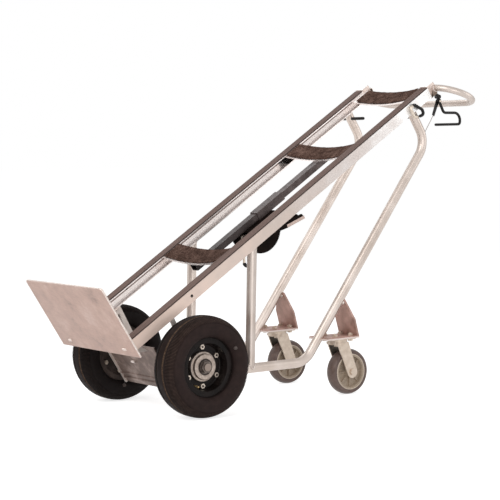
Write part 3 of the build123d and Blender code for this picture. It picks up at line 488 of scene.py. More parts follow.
slot_face = nose_face + slot_seam_lift
slot_welds = [bead(at_rail(slot_face, way * slot_seam, slot_seam_out), slot_bead) for way in ways.values()]
# Painted highlight: the slot welds take the same pale mottle as the plate's edge.
piece("slot_welds", slot_welds, pale_highlight, "frame")

# Axle: a turned steel bar with a thick middle, warm grey from the lathe.
# A dark oiled nut and washer hold each wheel on it.
axle_skin, tree = new_skin("axle_bar")
mill = noise(tree, 90.0, 3.0, stretch=(1, 0.03, 1))
coat(tree, (0.28, 0.22, 0.185), span(tree, mill, 0.32, 0.5), 0.6, relief=(mill, 0.1, 0.0003))
dress(["axle"], axle_skin)
nut_oil = [(0.35, (0.085, 0.066, 0.056)), (0.7, (0.22, 0.18, 0.155))]
dress(["axle_nuts"], mottled("nut_steel", 260.0, nut_oil, 0.4, 0.5))

# Main tyres: matte brown-black rubber on a hollow carcass, round shouldered.
# Two rain grooves run round the tread, and a band of fine moulded teeth marks each shoulder.
tyre_middle, tyre_power, tread_flat = 0.097, 2.6, 0.03
bead_low, bead_high, bead_half = 0.0645, 0.0765, 0.0238
groove_place, groove_half, groove_depth, groove_slope = 0.013, 0.002, 0.0042, 0.0004
tooth_count, tooth_depth, tooth_drop, tooth_narrowing = 218, 0.0026, 0.85, 0.5
tooth_band = (0.019, 0.0215, 0.0415, 0.0440)
tooth_saw = (1.0, 0.9, 0.0, 0.0)
mould_place, mould_width, mould_ring = 0.0855, 0.0009, 0.0005
inner_wall, outer_shoulder = 0.032, 0.014
mark_ring, mark_level, mark_radius = 0.0885, 0.0439, 0.0052
mark_low, mark_high, mark_dome = -0.004, 0.0012, 0.0002
mark_turns = {"left": math.radians(31), "right": math.radians(-95)}
pole = 0.0001


def wheel_middle(side):
    """The middle of a main wheel, on the axle."""
    return np.mean(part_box(f"tyre_{side}"), axis=0)


def at_turn(centre, radius, turn, offset=0.0):
    """A place at a radius and a turn about a wheel's cross axis, and an offset along it."""
    steps = np.broadcast_arrays(np.cos(turn) * radius, offset, np.sin(turn) * radius)
    return centre + np.stack(steps, axis=-1)


def turned(profile, centre, steps, way=1, closed=True):
    """A profile of radius and offset carried round the wheel's own cross axis."""
    turn = np.linspace(0, 2 * math.pi, steps, endpoint=False)[:, None]
    return woven(at_turn(centre, profile[:, 0], turn, way * profile[:, 1]), ring=closed, loop=True)


def stud(centre, radius, low, high, way, steps, dome=0.0):
    """A short round stud along the cross axis between two levels, its end domed towards the middle."""
    profile = np.array([(pole, high + dome), (radius, high), (radius, low), (pole, low)])
    return turned(profile, centre, steps, way, closed=False)


def smooth_step(low, high, value):
    """0 below low and 1 above high, in between the cubic that is level at both ends."""
    share = np.clip((value - low) / (high - low), 0, 1)
    return share * share * (3 - 2 * share)


def tyre_form(node):
    """A superellipse crown over two quarter ellipses down to the beads, carried round the axle; the grooves
    lower the crown, and a saw-tooth round the turn cuts the shoulder bands."""
    low, high = np.array(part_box(node))
    radius, half = (high[2] - low[2]) / 2, (high[1] - low[1]) / 2
    flat = np.linspace(-tread_flat, tread_flat, 41)
    edge = half * np.cos(np.linspace(0.0, math.acos(tread_flat / half), 13))
    across_tread = np.concatenate([-edge[:-1], flat, edge[-2::-1]])
    crown = (1 - (np.abs(across_tread) / half) ** tyre_power) ** (1 / tyre_power)
    dip = (groove_half + groove_slope - np.abs(np.abs(across_tread) - groove_place)) / (2 * groove_slope)
    height = tyre_middle + (radius - tyre_middle) * crown - groove_depth * np.clip(dip, 0, 1)
    fall = np.linspace(0, math.pi / 2, 11)[1:]
    wall_r = tyre_middle - (tyre_middle - bead_high) * np.sin(fall)
    wall_v = bead_half + (half - bead_half) * np.cos(fall)
    wall_r = wall_r + mould_ring * np.exp(-(((wall_r - mould_place) / mould_width) ** 2))
    profile_r = np.concatenate([[bead_low], wall_r[::-1], height, wall_r, [bead_low]])
    profile_v = np.concatenate([[-bead_half], -wall_v[::-1], across_tread, wall_v, [bead_half]])
    reach = np.abs(profile_v)
    band = smooth_step(*tooth_band[:2], reach) - smooth_step(*tooth_band[2:], reach)
    cut = tooth_depth * np.tile(tooth_saw, tooth_count)[:, None] * band * (profile_r > tyre_middle)
    turn = np.linspace(0, 2 * math.pi, len(tooth_saw) * tooth_count, endpoint=False)[:, None]
    offset = profile_v - tooth_narrowing * cut * np.sign(profile_v)
    return woven(at_turn((low + high) / 2, profile_r - tooth_drop * cut, turn, offset), ring=True, loop=True)


tyre_inner, tyre_outer = (corner[1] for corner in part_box("tyre_right"))
rubber, tree = new_skin("tyre_rubber")
dust = noise(tree, 60.0, 5.0)
dusted = ramp(tree, dust, [(0.3, (0.016, 0.009, 0.008)), (0.7, (0.032, 0.0195, 0.0175))])
on_crown = part_of(tree, "Y", tyre_inner + inner_wall, tyre_outer - outer_shoulder)
# Painted shade: the inner sidewall is darker.
inner_side = part_of(tree, "Y", 0.0, tyre_inner + inner_wall)
crowned = painted(tree, dusted, on_crown, (0.0115, 0.0066, 0.0058))
shaded = painted(tree, crowned, inner_side, (0.006, 0.0035, 0.0032))
coat(tree, shaded, span(tree, dust, 0.58, 0.76), 0.0, 0.12, (dust, 0.15, 0.0006))
tooth_tips, tree = new_skin("tooth_tips")
tip_dust = noise(tree, 90.0, 4.0)
tipped = ramp(tree, tip_dust, [(0.35, (0.045, 0.028, 0.022)), (0.65, (0.092, 0.06, 0.048))])
# Painted shade: the tooth tips are darker on the inner sidewall.
inner_side = part_of(tree, "Y", 0.0, tyre_inner + inner_wall)
coat(tree, painted(tree, tipped, inner_side, (0.022, 0.0145, 0.0125)), 0.75, 0.0, 0.15)
soil = [(0.35, (0.045, 0.028, 0.019)), (0.65, (0.135, 0.085, 0.058))]
earth = mottled("groove_earth", 300.0, soil, 0.8, 0.0, 0.1, detail=4.0)
mark_wear = [(0.35, (0.06, 0.046, 0.042)), (0.65, (0.12, 0.096, 0.088))]
marks = mottled("moulded_mark", 400.0, mark_wear, 0.6, 0.0, 0.2)
for side, spot in mark_turns.items():
    form = tyre_form(f"tyre_{side}")
    cover = piece(f"tyre_cover_{side}", [form], rubber, f"wheel_{side}", [f"tyre_{side}"], 75)
    centres = face_rows(cover, "center") - wheel_middle(side)
    reach, ring = np.abs(centres[:, 1]), np.hypot(centres[:, 0], centres[:, 2])
    in_groove = (np.abs(reach - groove_place) < groove_half + groove_slope) & (ring > tyre_middle)
    turns = np.arctan2(centres[:, 2], centres[:, 0]) / (2 * math.pi)
    saw_step = np.floor(turns * len(tooth_saw) * tooth_count) % len(tooth_saw)
    on_tip = (saw_step == 2) & (reach > tooth_band[1]) & (reach < tooth_band[2]) & (ring > tyre_middle)
    more_skins(cover, [earth, tooth_tips], in_groove + 2 * on_tip)
    at_mark = at_turn(wheel_middle(side), mark_ring, spot, -mark_level)
    mark = stud(at_mark, mark_radius, mark_low, mark_high, -1, 24, mark_dome)
    piece(f"tyre_mark_{side}", [mark], marks, f"wheel_{side}")

# Rims: two pressed steel dishes bolted back to back, in gloss black enamel with rolled steps.
# A brass valve stands in the well of each.
rim_sheet, rim_reach, rim_seat, rim_flange = 0.0025, 0.024, 0.064, 0.0765
disc_plane, disc_radius, disc_bore, disc_corner = -0.0035, 0.060, 0.0282, 0.0021
cone_widen, cone_back, cone_front = 0.002, 0.014, 0.0137
seat_back, seat_front, seat_corner = 0.0075, 0.007, 0.0024
rim_rolls = np.array([0.4, 5, 6, 5, 2.2, 1.1, 1.1, 4.5, 2.5, 3, 2.5, 0.4]) * 0.001


def rim_profile(way):
    """The dish from its bore along the disc, up cone and bead seat to the flange, and back behind."""
    deep = rim_reach - way * disc_plane
    face = [(disc_bore, rim_sheet), (disc_radius - disc_corner, rim_sheet)]
    cone = [(disc_radius + cone_widen - rim_sheet, deep - cone_front)]
    cone += [(rim_seat - seat_corner, deep - seat_front)]
    flange = [(rim_seat - rim_sheet, deep + rim_sheet), (rim_flange, deep + rim_sheet), (rim_flange, deep)]
    back = [(rim_seat, deep), (rim_seat, deep - seat_back), (disc_radius + cone_widen, deep - cone_back)]
    foot = [(disc_radius, 0.0), (disc_bore, 0.0)]
    line = bent_line(np.array(face + cone + flange + back + foot), rim_rolls, 6, closed=True)
    return np.stack([line[:, 0], disc_plane + way * line[:, 1]], axis=1)


enamel, tree = new_skin("black_enamel")
peel = noise(tree, 260.0, 2.0)
film = noise(tree, 30.0, 5.0)
gloss_black = ramp(tree, film, [(0.35, (0.006, 0.0045, 0.004)), (0.7, (0.018, 0.013, 0.012))])
coat(tree, gloss_black, span(tree, film, 0.2, 0.36), 0.0, 0.1, (peel, 0.06, 0.0003))
silt = [(0.3, (0.024, 0.016, 0.014)), (0.7, (0.10, 0.073, 0.062))]
dusty = mottled("dusty_enamel", 40.0, silt, 0.6, 0.0, 0.2, detail=5.0)
for side, way in ways.items():
    outer = turned(rim_profile(1), wheel_middle(side), 144, way)
    piece(f"rim_outer_{side}", [outer], enamel, f"wheel_{side}", [f"rim_{side}"], 50)
    inner = turned(rim_profile(-1), wheel_middle(side), 144, way)
    piece(f"rim_inner_{side}", [inner], dusty, f"wheel_{side}", crease=50)
tarnish = [(0.3, (0.36, 0.24, 0.11)), (0.7, (0.62, 0.47, 0.25))]
brass = mottled("valve_brass", 300.0, tarnish, 0.35, 0.8)
valve_turn, valve_ring, valve_base, valve_tip = math.radians(-115.0), 0.0545, -0.0008, 0.0165
valve_sleeve = [(0.0026, valve_tip), (0.0029, 0.0105), (0.0038, 0.0095), (0.0042, valve_base)]
valve_outline = np.array([(pole, valve_tip), *valve_sleeve, (pole, valve_base)])
valve_line = bent_line(valve_outline, [0, 0.0006, 0.0006, 0.0006, 0.0004, 0], 4)
for side, way in ways.items():
    stem = turned(valve_line, at_turn(wheel_middle(side), valve_ring, valve_turn), 20, way, closed=False)
    piece(f"valve_{side}", [stem], brass, f"wheel_{side}")

# Hubs: turned steel, a stepped flange on the outer dish with a bearing let into each end.
# Six zinc bolts clamp the dishes; their ends sit dark in the nuts.
hub_bore, bearing_seat, hub_barrel, hub_flange, hub_collar = 0.013, 0.021, 0.028, 0.039, 0.033
seat_inner, hub_back, flange_back = -0.0075, -0.020, -0.001
flange_front, hub_front, seat_outer = 0.0064, 0.0155, 0.003
hub_radii = np.repeat([hub_bore, bearing_seat, hub_barrel, hub_flange, hub_collar, bearing_seat], 2)
hub_offsets = np.repeat([seat_inner, hub_back, flange_back, flange_front, hub_front, seat_outer], 2)
hub_rolls = np.array([0.4, 0.4, 0.8, 0.8, 0.3, 0.6, 1.6, 1.8, 1.6, 1.2, 0.4, 0.4]) * 0.001
hub_outline = np.stack([np.roll(hub_radii, -1), hub_offsets], axis=1)
hub_line = bent_line(hub_outline, hub_rolls, 5, closed=True)
rings = [(0.3, (0.27, 0.215, 0.18)), (0.7, (0.47, 0.395, 0.345))]
hub_skin = mottled("turned_hub", 140.0, rings, (0.28, 0.44), 0.75, relief=(0.08, 0.0004), detail=4.0)
grease = [(0.35, (0.03, 0.021, 0.019)), (0.7, (0.085, 0.064, 0.057))]
seal = mottled("bearing_seal", 220.0, grease, 0.45, 0.3, 0.3, (0.1, 0.0004))
dress(both("bearings"), seal)
spangle = [(0.3, (0.55, 0.465, 0.385)), (0.7, (0.72, 0.63, 0.54))]
zinc = mottled("zinc_plate", 120.0, spangle, (0.28, 0.42), 0.7, relief=(0.05, 0.0003))
dress(both("wheel_bolts"), zinc)
bolt_circle, bolt_end, bolt_face, bolt_low, bolt_high = 0.0505, 0.0031, 0.004, -0.001, 0.0004
bolt_turns = math.pi / 2 + np.arange(6) * math.pi / 3
for side, way in ways.items():
    hub = turned(hub_line, wheel_middle(side), 96, way)
    piece(f"hub_steel_{side}", [hub], hub_skin, f"wheel_{side}", [f"hub_{side}"], 35)
    spots = at_turn(wheel_middle(side), bolt_circle, bolt_turns, way * bolt_face)
    bolt_ends = [stud(spot, bolt_end, bolt_low, bolt_high, way, 16) for spot in spots]
    piece(f"bolt_tips_{side}", bolt_ends, seal, f"wheel_{side}")

# Hole plugs: one dark rubber plug closes the hole near the foot of each rail.
# It stands a little below the face of the web.
hole_along, hole_radius, plug_low, plug_high = 0.097, 0.0042, -0.0022, -0.0006
plug_bloom = [(0.3, (0.02, 0.014, 0.013)), (0.7, (0.06, 0.045, 0.04))]
plug_skin = mottled("plug_rubber", 500.0, plug_bloom, 0.6, 0.0, 0.2)
hole_plugs = []
for way in ways.values():
    hole = at_rail(hole_along, way * rail_high[1], (rail_low[2] + rail_high[2]) / 2)
    hole_plugs.append(stud(hole, hole_radius, plug_low, plug_high, way, 24))
piece("hole_plugs", hole_plugs, plug_skin, "frame")

# Side frames: one bent aluminium tube each side, from the axle plate back, up and onto the rail.
# A short post stands between tube and rail; every joint is closed by a rippled weld.
low, high = np.array(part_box("side_frame_right"))
tube_start, tube_radius, tube_y = low[0], (high[1] - low[1]) / 2, (low[1] + high[1]) / 2
tube_z, tube_wall = low[2] + tube_radius, 0.0025
heel_back, heel_bend = 0.3884, 0.065
tube_top, shoulder_out, shoulder_bend = 1.014, 0.0292, 0.062
tube_bends = [0, heel_bend, shoulder_bend, 0]
bend_steps, rail_back, seam_bead = 24, rail_low[2], 0.0022
post_foot, post_lean, post_sink = 0.2005, math.radians(2.0), 0.001
post_radius = (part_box("post_right")[1][1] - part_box("post_right")[0][1]) / 2
post_run = np.array([math.sin(post_lean), 0.0, math.cos(post_lean)])
post_square = np.array([math.cos(post_lean), 0.0, -math.sin(post_lean)])


def tube_skin(name, left, right):
    """Bright drawn tube under a faint haze, its tone carried from one value on the left to another, as
    painted light and shade.
    """
    skin, tree = new_skin(name)
    haze = noise(tree, 18.0, 2.0)
    hazed = ramp(tree, haze, [(0.3, (0.54, 0.455, 0.40)), (0.7, (0.65, 0.57, 0.52))])
    coat(tree, toned(tree, hazed, "Y", -0.13, 0.13, left, right), span(tree, haze, 0.3, 0.42), 0.75)
    return skin


def pipe(line, radius, wall, sides=36):
    """A round tube: the outer skin along a line and the bore back along it, joined at both ends."""
    outer = carried(circle(radius, sides), line)
    bore = carried(circle(radius - wall, sides), line)
    return woven(np.concatenate([outer, bore[::-1]]), ring=True, loop=True)


def ring_line(centre, one, two, radius, steps=72):
    """A closed circle of points about a centre, in the plane of two directions."""
    turn = np.linspace(0, 2 * math.pi, steps + 1)[:, None]
    return centre + radius * (np.cos(turn) * one + np.sin(turn) * two)


# Painted light and shade: the far tubes are lighter than the near ones.
bent_skin = tube_skin("bent_tube", 0.99, 1.13)
post_skin = tube_skin("post_tube", 0.82, 1.1)
side_welds = []
for side, way in ways.items():
    middle = way * tube_y
    start = np.array([tube_start, middle, tube_z])
    heel = np.array([axle[0] + heel_back, middle, tube_z])
    shoulder = at_rail(tube_top, middle, shoulder_out)
    top = at_rail(tube_top, middle, rail_back)
    tube_line = bent_line(np.stack([start, heel, shoulder, top]), tube_bends, bend_steps)
    tube = pipe(tube_line, tube_radius, tube_wall)
    piece(f"side_tube_{side}", [tube], bent_skin, "frame", [f"side_frame_{side}"])
    foot = np.array([axle[0] + post_foot, middle, tube_z])
    ring = ring_line(foot, post_square, across, post_radius, 36)
    rise = np.sqrt(np.maximum(tube_radius**2 - (ring[:, 1] - middle) ** 2, 0))
    from_tube = (tube_z + rise - post_sink - ring[:, 2]) / post_run[2]
    to_rail = (rail_back - (ring - axle) @ out_rail) / (post_run @ out_rail)
    base = ring + from_tube[:, None] * post_run
    head = ring + to_rail[:, None] * post_run
    share = np.linspace(0, 1, 12)[:, None, None]
    shaft = solid((base + share * (head - base))[:, :-1])
    piece(f"post_tube_{side}", [shaft], post_skin, "frame", [f"post_{side}"])
    for seam in (head, base, ring_line(top, along_rail, across, tube_radius)):
        side_welds.append(bead(seam, seam_bead))
piece("side_welds", side_welds, weld_metal, "frame")

# Caster brackets: folded steel plate coped to the side tubes, mauve-brown and duller than the tubes.
# A bright bead closes the top of each against the back of the tube.
bracket_foot, foot_edge, foot_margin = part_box("caster_bracket_left")[0][2], 0.0036, 0.001
bracket_bead, arch_drop, arch_lift, arch_turn = 0.0034, 0.004, 0.001, 0.9
dull, tree = new_skin("dull_plate")
cast = noise(tree, 30.0, 6.0)
mauve_stops = [(0.28, (0.30, 0.18, 0.145)), (0.5, (0.47, 0.29, 0.24)), (0.72, (0.66, 0.44, 0.385))]
mauve = ramp(tree, cast, mauve_stops)
# Painted highlight: the cut edge along the foot is light.
foot_highlight = part_of(tree, "Z", bracket_foot - foot_margin, bracket_foot + foot_edge)
coat(tree, painted(tree, mauve, foot_highlight, (0.80, 0.69, 0.64)), span(tree, cast, 0.42, 0.6), 0.3)
dress(both("caster_bracket"), dull)
heel_end, shoulder_start = tube_line[bend_steps], tube_line[bend_steps + 1]
slant = unit(shoulder_start - heel_end)
slant_square = np.array([slant[2], 0.0, -slant[0]])
arch = np.linspace(-arch_turn, arch_turn, 25)[:, None]
bracket_welds = []
for side, way in ways.items():
    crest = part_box(f"caster_bracket_{side}")[1][2]
    on_axis = heel_end * np.array([1, way, 1])
    on_axis = on_axis + slant * (crest - arch_drop - on_axis[2]) / slant[2]
    seam = on_axis + (tube_radius + arch_lift) * (np.cos(arch) * slant_square + np.sin(arch) * across)
    bracket_welds.append(bead(seam, bracket_bead))
piece("bracket_welds", bracket_welds, weld_metal, "frame")

# Casters: zinc plated swivel plate, bolts, fork and axle, cream in tone.
# Each wheel is a mauve-grey rubber tread on a ribbed, olive-beige moulded core.
cream = [(0.3, (0.515, 0.415, 0.33)), (0.7, (0.68, 0.58, 0.487))]
cream_zinc = mottled("cream_zinc", 70.0, cream, (0.3, 0.46), 0.55, relief=(0.05, 0.0004), detail=4.0)
dress(["caster_bolts"] + both("caster_plate", "caster_axle"), cream_zinc)
fork_low, fork_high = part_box("caster_fork_right")
fork_middle, fork_inside, fork_crown = (fork_low[1] + fork_high[1]) / 2, 0.0201, 0.012
fork_zinc, tree = new_skin("fork_zinc")
bloom = noise(tree, 70.0, 4.0)
# Painted shade: between the legs and under the crown, the fork is dark.
between_legs = part_of(tree, "Y", fork_middle - fork_inside, fork_middle + fork_inside)
under_crown = part_of(tree, "Z", 0.0, fork_high[2] - fork_crown)
shade_between_legs = reckon(tree, "MULTIPLY", between_legs, under_crown)
fork_tone = painted(tree, ramp(tree, bloom, cream), shade_between_legs, (0.12, 0.102, 0.082))
coat(tree, fork_tone, span(tree, bloom, 0.3, 0.46), 0.55, relief=(bloom, 0.05, 0.0004))
dress(both("caster_fork"), fork_zinc)
wear = [(0.3, (0.12, 0.08, 0.067)), (0.7, (0.185, 0.13, 0.112))]
tread_skin = mottled("caster_rubber", 80.0, wear, (0.32, 0.5), 0.0, 0.3, (0.1, 0.0005), 4.0)
mould = [(0.3, (0.35, 0.272, 0.2)), (0.7, (0.5, 0.4, 0.305))]
core_skin = mottled("caster_core", 250.0, mould, 0.5, relief=(0.15, 0.0004))
ring_mould = [(0.3, (0.62, 0.52, 0.42)), (0.7, (0.78, 0.67, 0.56))]
ring_skin = mottled("core_ring", 200.0, ring_mould, 0.45)
tread_bore, tread_drop, tread_power, tread_foot = 0.0501, 0.0052, 2.4, 0.001
core_boss, core_web = [(0.0051, 0.0185), (0.014, 0.0185)], [(0.016, 0.006), (0.041, 0.006)]
core_half = core_boss + core_web + [(0.043, 0.01625), (0.050, 0.01625)]
core_outline = np.array(core_half + [(radius, -offset) for radius, offset in reversed(core_half)])
core_roll, rib_roll = 0.0008, 0.001
core_line = bent_line(core_outline, core_roll, 4, closed=True)
rib_count, rib_half, rib_reach, rib_edge, rib_from, rib_to = 8, 0.00125, 0.01225, 0.0005, 0.0135, 0.0435
rib_outline = rounded((rib_from, -rib_reach), (rib_to, rib_reach), rib_roll, 3)
lip_ring, lip_offset, lip_wire = 0.0488, 0.0163, 0.0012
x_way, z_way = np.array([1.0, 0, 0]), np.array([0, 0, 1.0])


def tread_form(centre, radius, half):
    """A crown falling away as a power of the offset from the middle, over straight walls, carried round."""
    offset = half * np.sin(np.linspace(-math.pi / 2, math.pi / 2, 41))
    crown = radius - tread_drop * np.abs(offset / half) ** tread_power
    foot = np.array([(tread_bore, half - tread_foot), (tread_bore, tread_foot - half)])
    return turned(np.concatenate([np.stack([crown, offset], axis=1), foot]), centre, 120)


def rib_form(centre, turn):
    """A thin rounded plate standing between hub and rim along one radius."""
    ahead, aside = (math.cos(turn), 0, math.sin(turn)), (-math.sin(turn), 0, math.cos(turn))

    def on_rib(*steps):
        """A place given along the radius, across the wheel and aside from the radius."""
        return centre + np.stack(np.broadcast_arrays(*steps), axis=-1) @ np.array([ahead, across, aside])

    return plate(rib_outline, -rib_half, rib_half, rib_edge, on_rib)


def hoop(centre, radius, wire, sides):
    """A round wire bent into a closed ring about the cross axis."""
    return woven(carried(circle(wire, sides), ring_line(centre, x_way, z_way, radius)), ring=True)


for side in ways:
    body = f"caster_wheel_{side}"
    low, high = np.array(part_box(f"caster_tread_{side}"))
    centre = (low + high) / 2
    tread = tread_form(centre, (high[2] - low[2]) / 2, (high[1] - low[1]) / 2)
    piece(f"caster_tyre_{side}", [tread], tread_skin, body, [f"caster_tread_{side}"], 50)
    core = [turned(core_line, centre, 96)]
    core += [rib_form(centre, turn) for turn in np.arange(rib_count) * 2 * math.pi / rib_count]
    piece(f"caster_web_{side}", core, core_skin, body, [f"caster_core_{side}"], 35)
    lips = [hoop(centre + way * lip_offset * across, lip_ring, lip_wire, 8) for way in ways.values()]
    piece(f"core_ring_{side}", lips, ring_skin, body)

# End blocks and loop handle: each rail is closed by a cut aluminium block, olive-brown and darker towards
# the bottom, with a painted highlight, near white, on its top face.
# One bent aluminium tube lies in the saddles of both blocks and is welded there.
block_low, block_high = rail_box("rail_caps")
block_foot, block_front = block_low[2] + axle @ out_rail, block_high[2] + axle @ out_rail
top_below, top_above = 0.003, 0.001
block_skin, tree = new_skin("end_block")
grime = noise(tree, 130.0, 5.0)
# Darker towards the bottom of the block, with a mottle over it.
height = span(tree, coordinate(tree, "Z", rail_turn), 0.0, 1.0, block_foot, block_front)
darker_below = reckon(tree, "ADD", height, span(tree, grime, -0.12, 0.12))
block_stops = [(0.2, (0.2, 0.145, 0.108)), (0.5, (0.56, 0.43, 0.37)), (0.8, (0.74, 0.62, 0.56))]
# Painted highlight: the top face is near white and metallic.
on_top = part_of(tree, "Z", block_front - top_below, block_front + top_above, rail_turn)
block_tone = painted(tree, ramp(tree, darker_below, block_stops), on_top, (0.97, 0.95, 0.94))
coat(tree, block_tone, 0.46, span(tree, on_top, 0.4, 0.95, 0.0, 1.0), relief=(grime, 0.12, 0.0005))
block_lap, block_width, block_edge, block_rolls = 0.001, 0.032, 0.004, [0.001, 0.008, 0.008, 0.004]
block_start, block_inside = rail_high[0] - block_lap, block_high[1] - block_width
block_outline = rounded((block_start, block_low[2]), (block_high[0], block_high[2]), block_rolls, 8)


def on_side(way):
    """The place of a plate that stands beside a rail: along it, out from it, and its level to one side."""
    return lambda along, out, level: at_rail(along, way * level, out)


block_levels = (block_inside, block_high[1])
blocks = [plate(block_outline, *block_levels, block_edge, on_side(way)) for way in ways.values()]
piece("end_blocks", blocks, block_skin, "frame", ["rail_caps"])
handle_radius, handle_wall, handle_root = 0.0095, 0.002, 0.0024
handle_slope, handle_bend, handle_half, bend_ease = math.radians(18.6), 0.0663, 0.214, 5e-5
handle_bead, bead_proud, bead_lift, bead_part = 0.0016, 0.0004, 0.0003, slice(24, -12)
root = at_rail(block_high[0] - handle_root, 0.0, (rail_low[2] + rail_high[2]) / 2)
back = root + 2 * handle_bend * np.array([math.cos(handle_slope), 0.0, -math.sin(handle_slope)])
handle_spread = np.array([block_inside, handle_half, handle_half])[:, None] * across
one_side = np.stack([root, root, back])
handle_corners = np.concatenate([one_side + handle_spread, (one_side - handle_spread)[::-1]])
handle_tube = pipe(bent_line(handle_corners, handle_bend - bend_ease, 32), handle_radius, handle_wall)
handle_skin = tube_skin("handle_tube", 0.93, 0.93)
piece("handle_tube", [handle_tube], handle_skin, "frame", ["loop_handle"])
handle_welds = []
for way in ways.values():
    block_face = root + way * (block_high[1] + bead_proud) * across
    seam = ring_line(block_face, along_rail, out_rail, handle_radius + bead_lift)
    handle_welds.append(bead(seam[bead_part], handle_bead))
piece("handle_welds", handle_welds, weld_metal, "frame")

# Belt bar and slide: a flat steel bar between the crossmembers with a sleeve that slides on it.
# Both have charcoal paint with worn specks, painted lighter towards the top as light and darker low down as
# shade.
charcoal, tree = new_skin("charcoal_paint")
speck = noise(tree, 220.0, 3.0)
rubbed = noise(tree, 35.0, 5.0)
charcoal_mottle = ramp(tree, rubbed, [(0.35, (0.023, 0.0165, 0.0155)), (0.7, (0.060, 0.047, 0.045))])
# Painted light and shade: the tone runs from 0.2 low down to 2.7 at the top.
bar_tone = toned(tree, charcoal_mottle, "Z", 0.34, 0.56, 0.2, 2.7)
coat(tree, bar_tone, span(tree, speck, 0.34, 0.52), 0.0, 0.2, (speck, 0.1, 0.0004))
dress(["belt_bar", "belt_slide"], charcoal)

# Ratchet: two rounded steel cheeks under the slide, black and a little oily, with a toothed drum between.
# The lower edges of the cheeks are cut into fine teeth; the belt anchor and the lever's grip look the same.
drip = [(0.35, (0.004, 0.0024, 0.002)), (0.7, (0.011, 0.0065, 0.0053))]
oiled = mottled("oiled_black", 60.0, drip, 0.45, 0.0, 0.04, (0.1, 0.0004), 4.0)
dress(["ratchet_frame", "ratchet_drum", "belt_anchor", "lever_grip"], oiled)
frame_low, frame_high = rail_box("ratchet_frame")
drum = np.mean(rail_box("ratchet_drum"), axis=0)
cheek_radius, cheek_band, cheek_wall, cheek_margin = 0.0675, 0.004, 0.003, 0.05
cheek_teeth, cheek_bite, cheek_phase = 44, 0.0016, 0.8
cheek_from, cheek_to = math.radians(-165), math.radians(-15)


def cheek_edge(way):
    """A thin toothed band round the lower arc of a cheek: its outer radius steps out once for each tooth."""
    step = np.arange(4 * cheek_teeth + 1)
    turn = np.linspace(cheek_from, cheek_to, len(step))[:, None]
    outer = cheek_radius + cheek_bite * (0.5 + 0.5 * np.sign(np.sin(step * math.pi / 2 + cheek_phase)))
    inner = np.full(len(step), cheek_radius - cheek_band)
    radius = np.stack([inner, outer, outer, inner], axis=1)
    depth = np.array([1 - cheek_margin, 1 - cheek_margin, cheek_margin, cheek_margin])
    level = frame_high[1] - cheek_wall * depth
    out = frame_low[2] + cheek_radius + radius * np.sin(turn)
    return solid(at_rail(drum[0] + radius * np.cos(turn), way * level, out))


cheek_edges = [cheek_edge(way) for way in ways.values()]
piece("cheek_teeth", cheek_edges, oiled, "belt_slide", crease=20)

# Strap: black nylon webbing, wound five turns on the drum.
# The weave is a fine twill across the band.
strap_start, strap_pitch, strap_thickness, strap_turns, strap_half = 0.0092, 0.0027, 0.002, 5, 0.0175
strap_edge, strap_corner = 0.0006, np.array([strap_thickness / 2, strap_half])
strap_section = rounded(-strap_corner, strap_corner, strap_edge, 4)


def strap_form():
    """A flat rounded band carried along a spiral whose radius grows by one pitch each turn."""
    turn = np.linspace(0, strap_turns, strap_turns * 48 + 1)[:, None]
    radius = strap_start + strap_pitch * turn + strap_thickness / 2 + strap_section[:, 0]
    along = drum[0] + radius * np.cos(2 * math.pi * turn)
    return solid(at_rail(along, strap_section[:, 1], drum[2] + radius * np.sin(2 * math.pi * turn)))


webbing, tree = new_skin("nylon_webbing")
twill_place = place_in(tree, turn=(0, 0, math.radians(40)))
twill = filled(tree, "TexWave", {"Vector": twill_place, "Scale": 260.0, "Distortion": 1.5}).outputs["Fac"]
threads = ramp(tree, twill, [(0.3, (0.012, 0.010, 0.009)), (0.7, (0.034, 0.028, 0.026))])
coat(tree, threads, 0.7, 0.0, 0.1, (twill, 0.3, 0.0004))
piece("strap_band", [strap_form()], webbing, "ratchet_drum", ["strap_roll"])

# Strap hook: one bent zinc plated wire with an eye on the pin of the ratchet frame.
# A black rubber sleeve covers its bowl.
hook_wire, hook_sleeve, hook_drop, hook_bowl, hook_ease = 0.0035, 0.0052, 0.066, 0.011, 5e-4
hook_eye, hook_eye_wire = 0.0069, 0.0025


def joint_place(name):
    """A joint's place at rest, from the frame's record."""
    return np.array(next(j["pos_m"] for j in frame["record"]["behaviour"]["joints"] if j["name"] == name))


def wire(line, radius, sides=16):
    """A round section carried along a line, drawn in to a half ball at both ends."""
    line, marks = even_line(line, radius / 4)
    near = np.minimum(marks, marks[-1] - marks)
    swell = np.sqrt(np.maximum(1 - np.clip(1 - near / radius, 0, 1) ** 2, 1e-6))
    return solid(carried(circle(radius, sides), line, swell))


thin = [(0.35, (0.004, 0.003, 0.0028)), (0.7, (0.012, 0.0095, 0.009))]
black = mottled("black_wire", 180.0, thin, (0.26, 0.42), 0.0, 0.2, (0.08, 0.0003))
hook = joint_place("strap_hook_swing")
bowl_foot = -hook_drop - hook_bowl
bowl_across = np.array([0, 0, 2 * hook_bowl, 2 * hook_bowl])
bowl_height = np.array([-hook_eye, bowl_foot, bowl_foot, hook_bowl - hook_drop])
bowl = hook + bowl_across[:, None] * x_way + bowl_height[:, None] * z_way
bowl_line = bent_line(bowl, hook_bowl - hook_ease, 16)
hook_forms = [wire(bowl_line, hook_wire), hoop(hook, hook_eye, hook_eye_wire, 12)]
piece("hook_wire", hook_forms, zinc, "strap_hook", ["strap_hook"])
piece("hook_sleeve", [wire(bowl_line[1:-1], hook_sleeve)], black, "strap_hook")

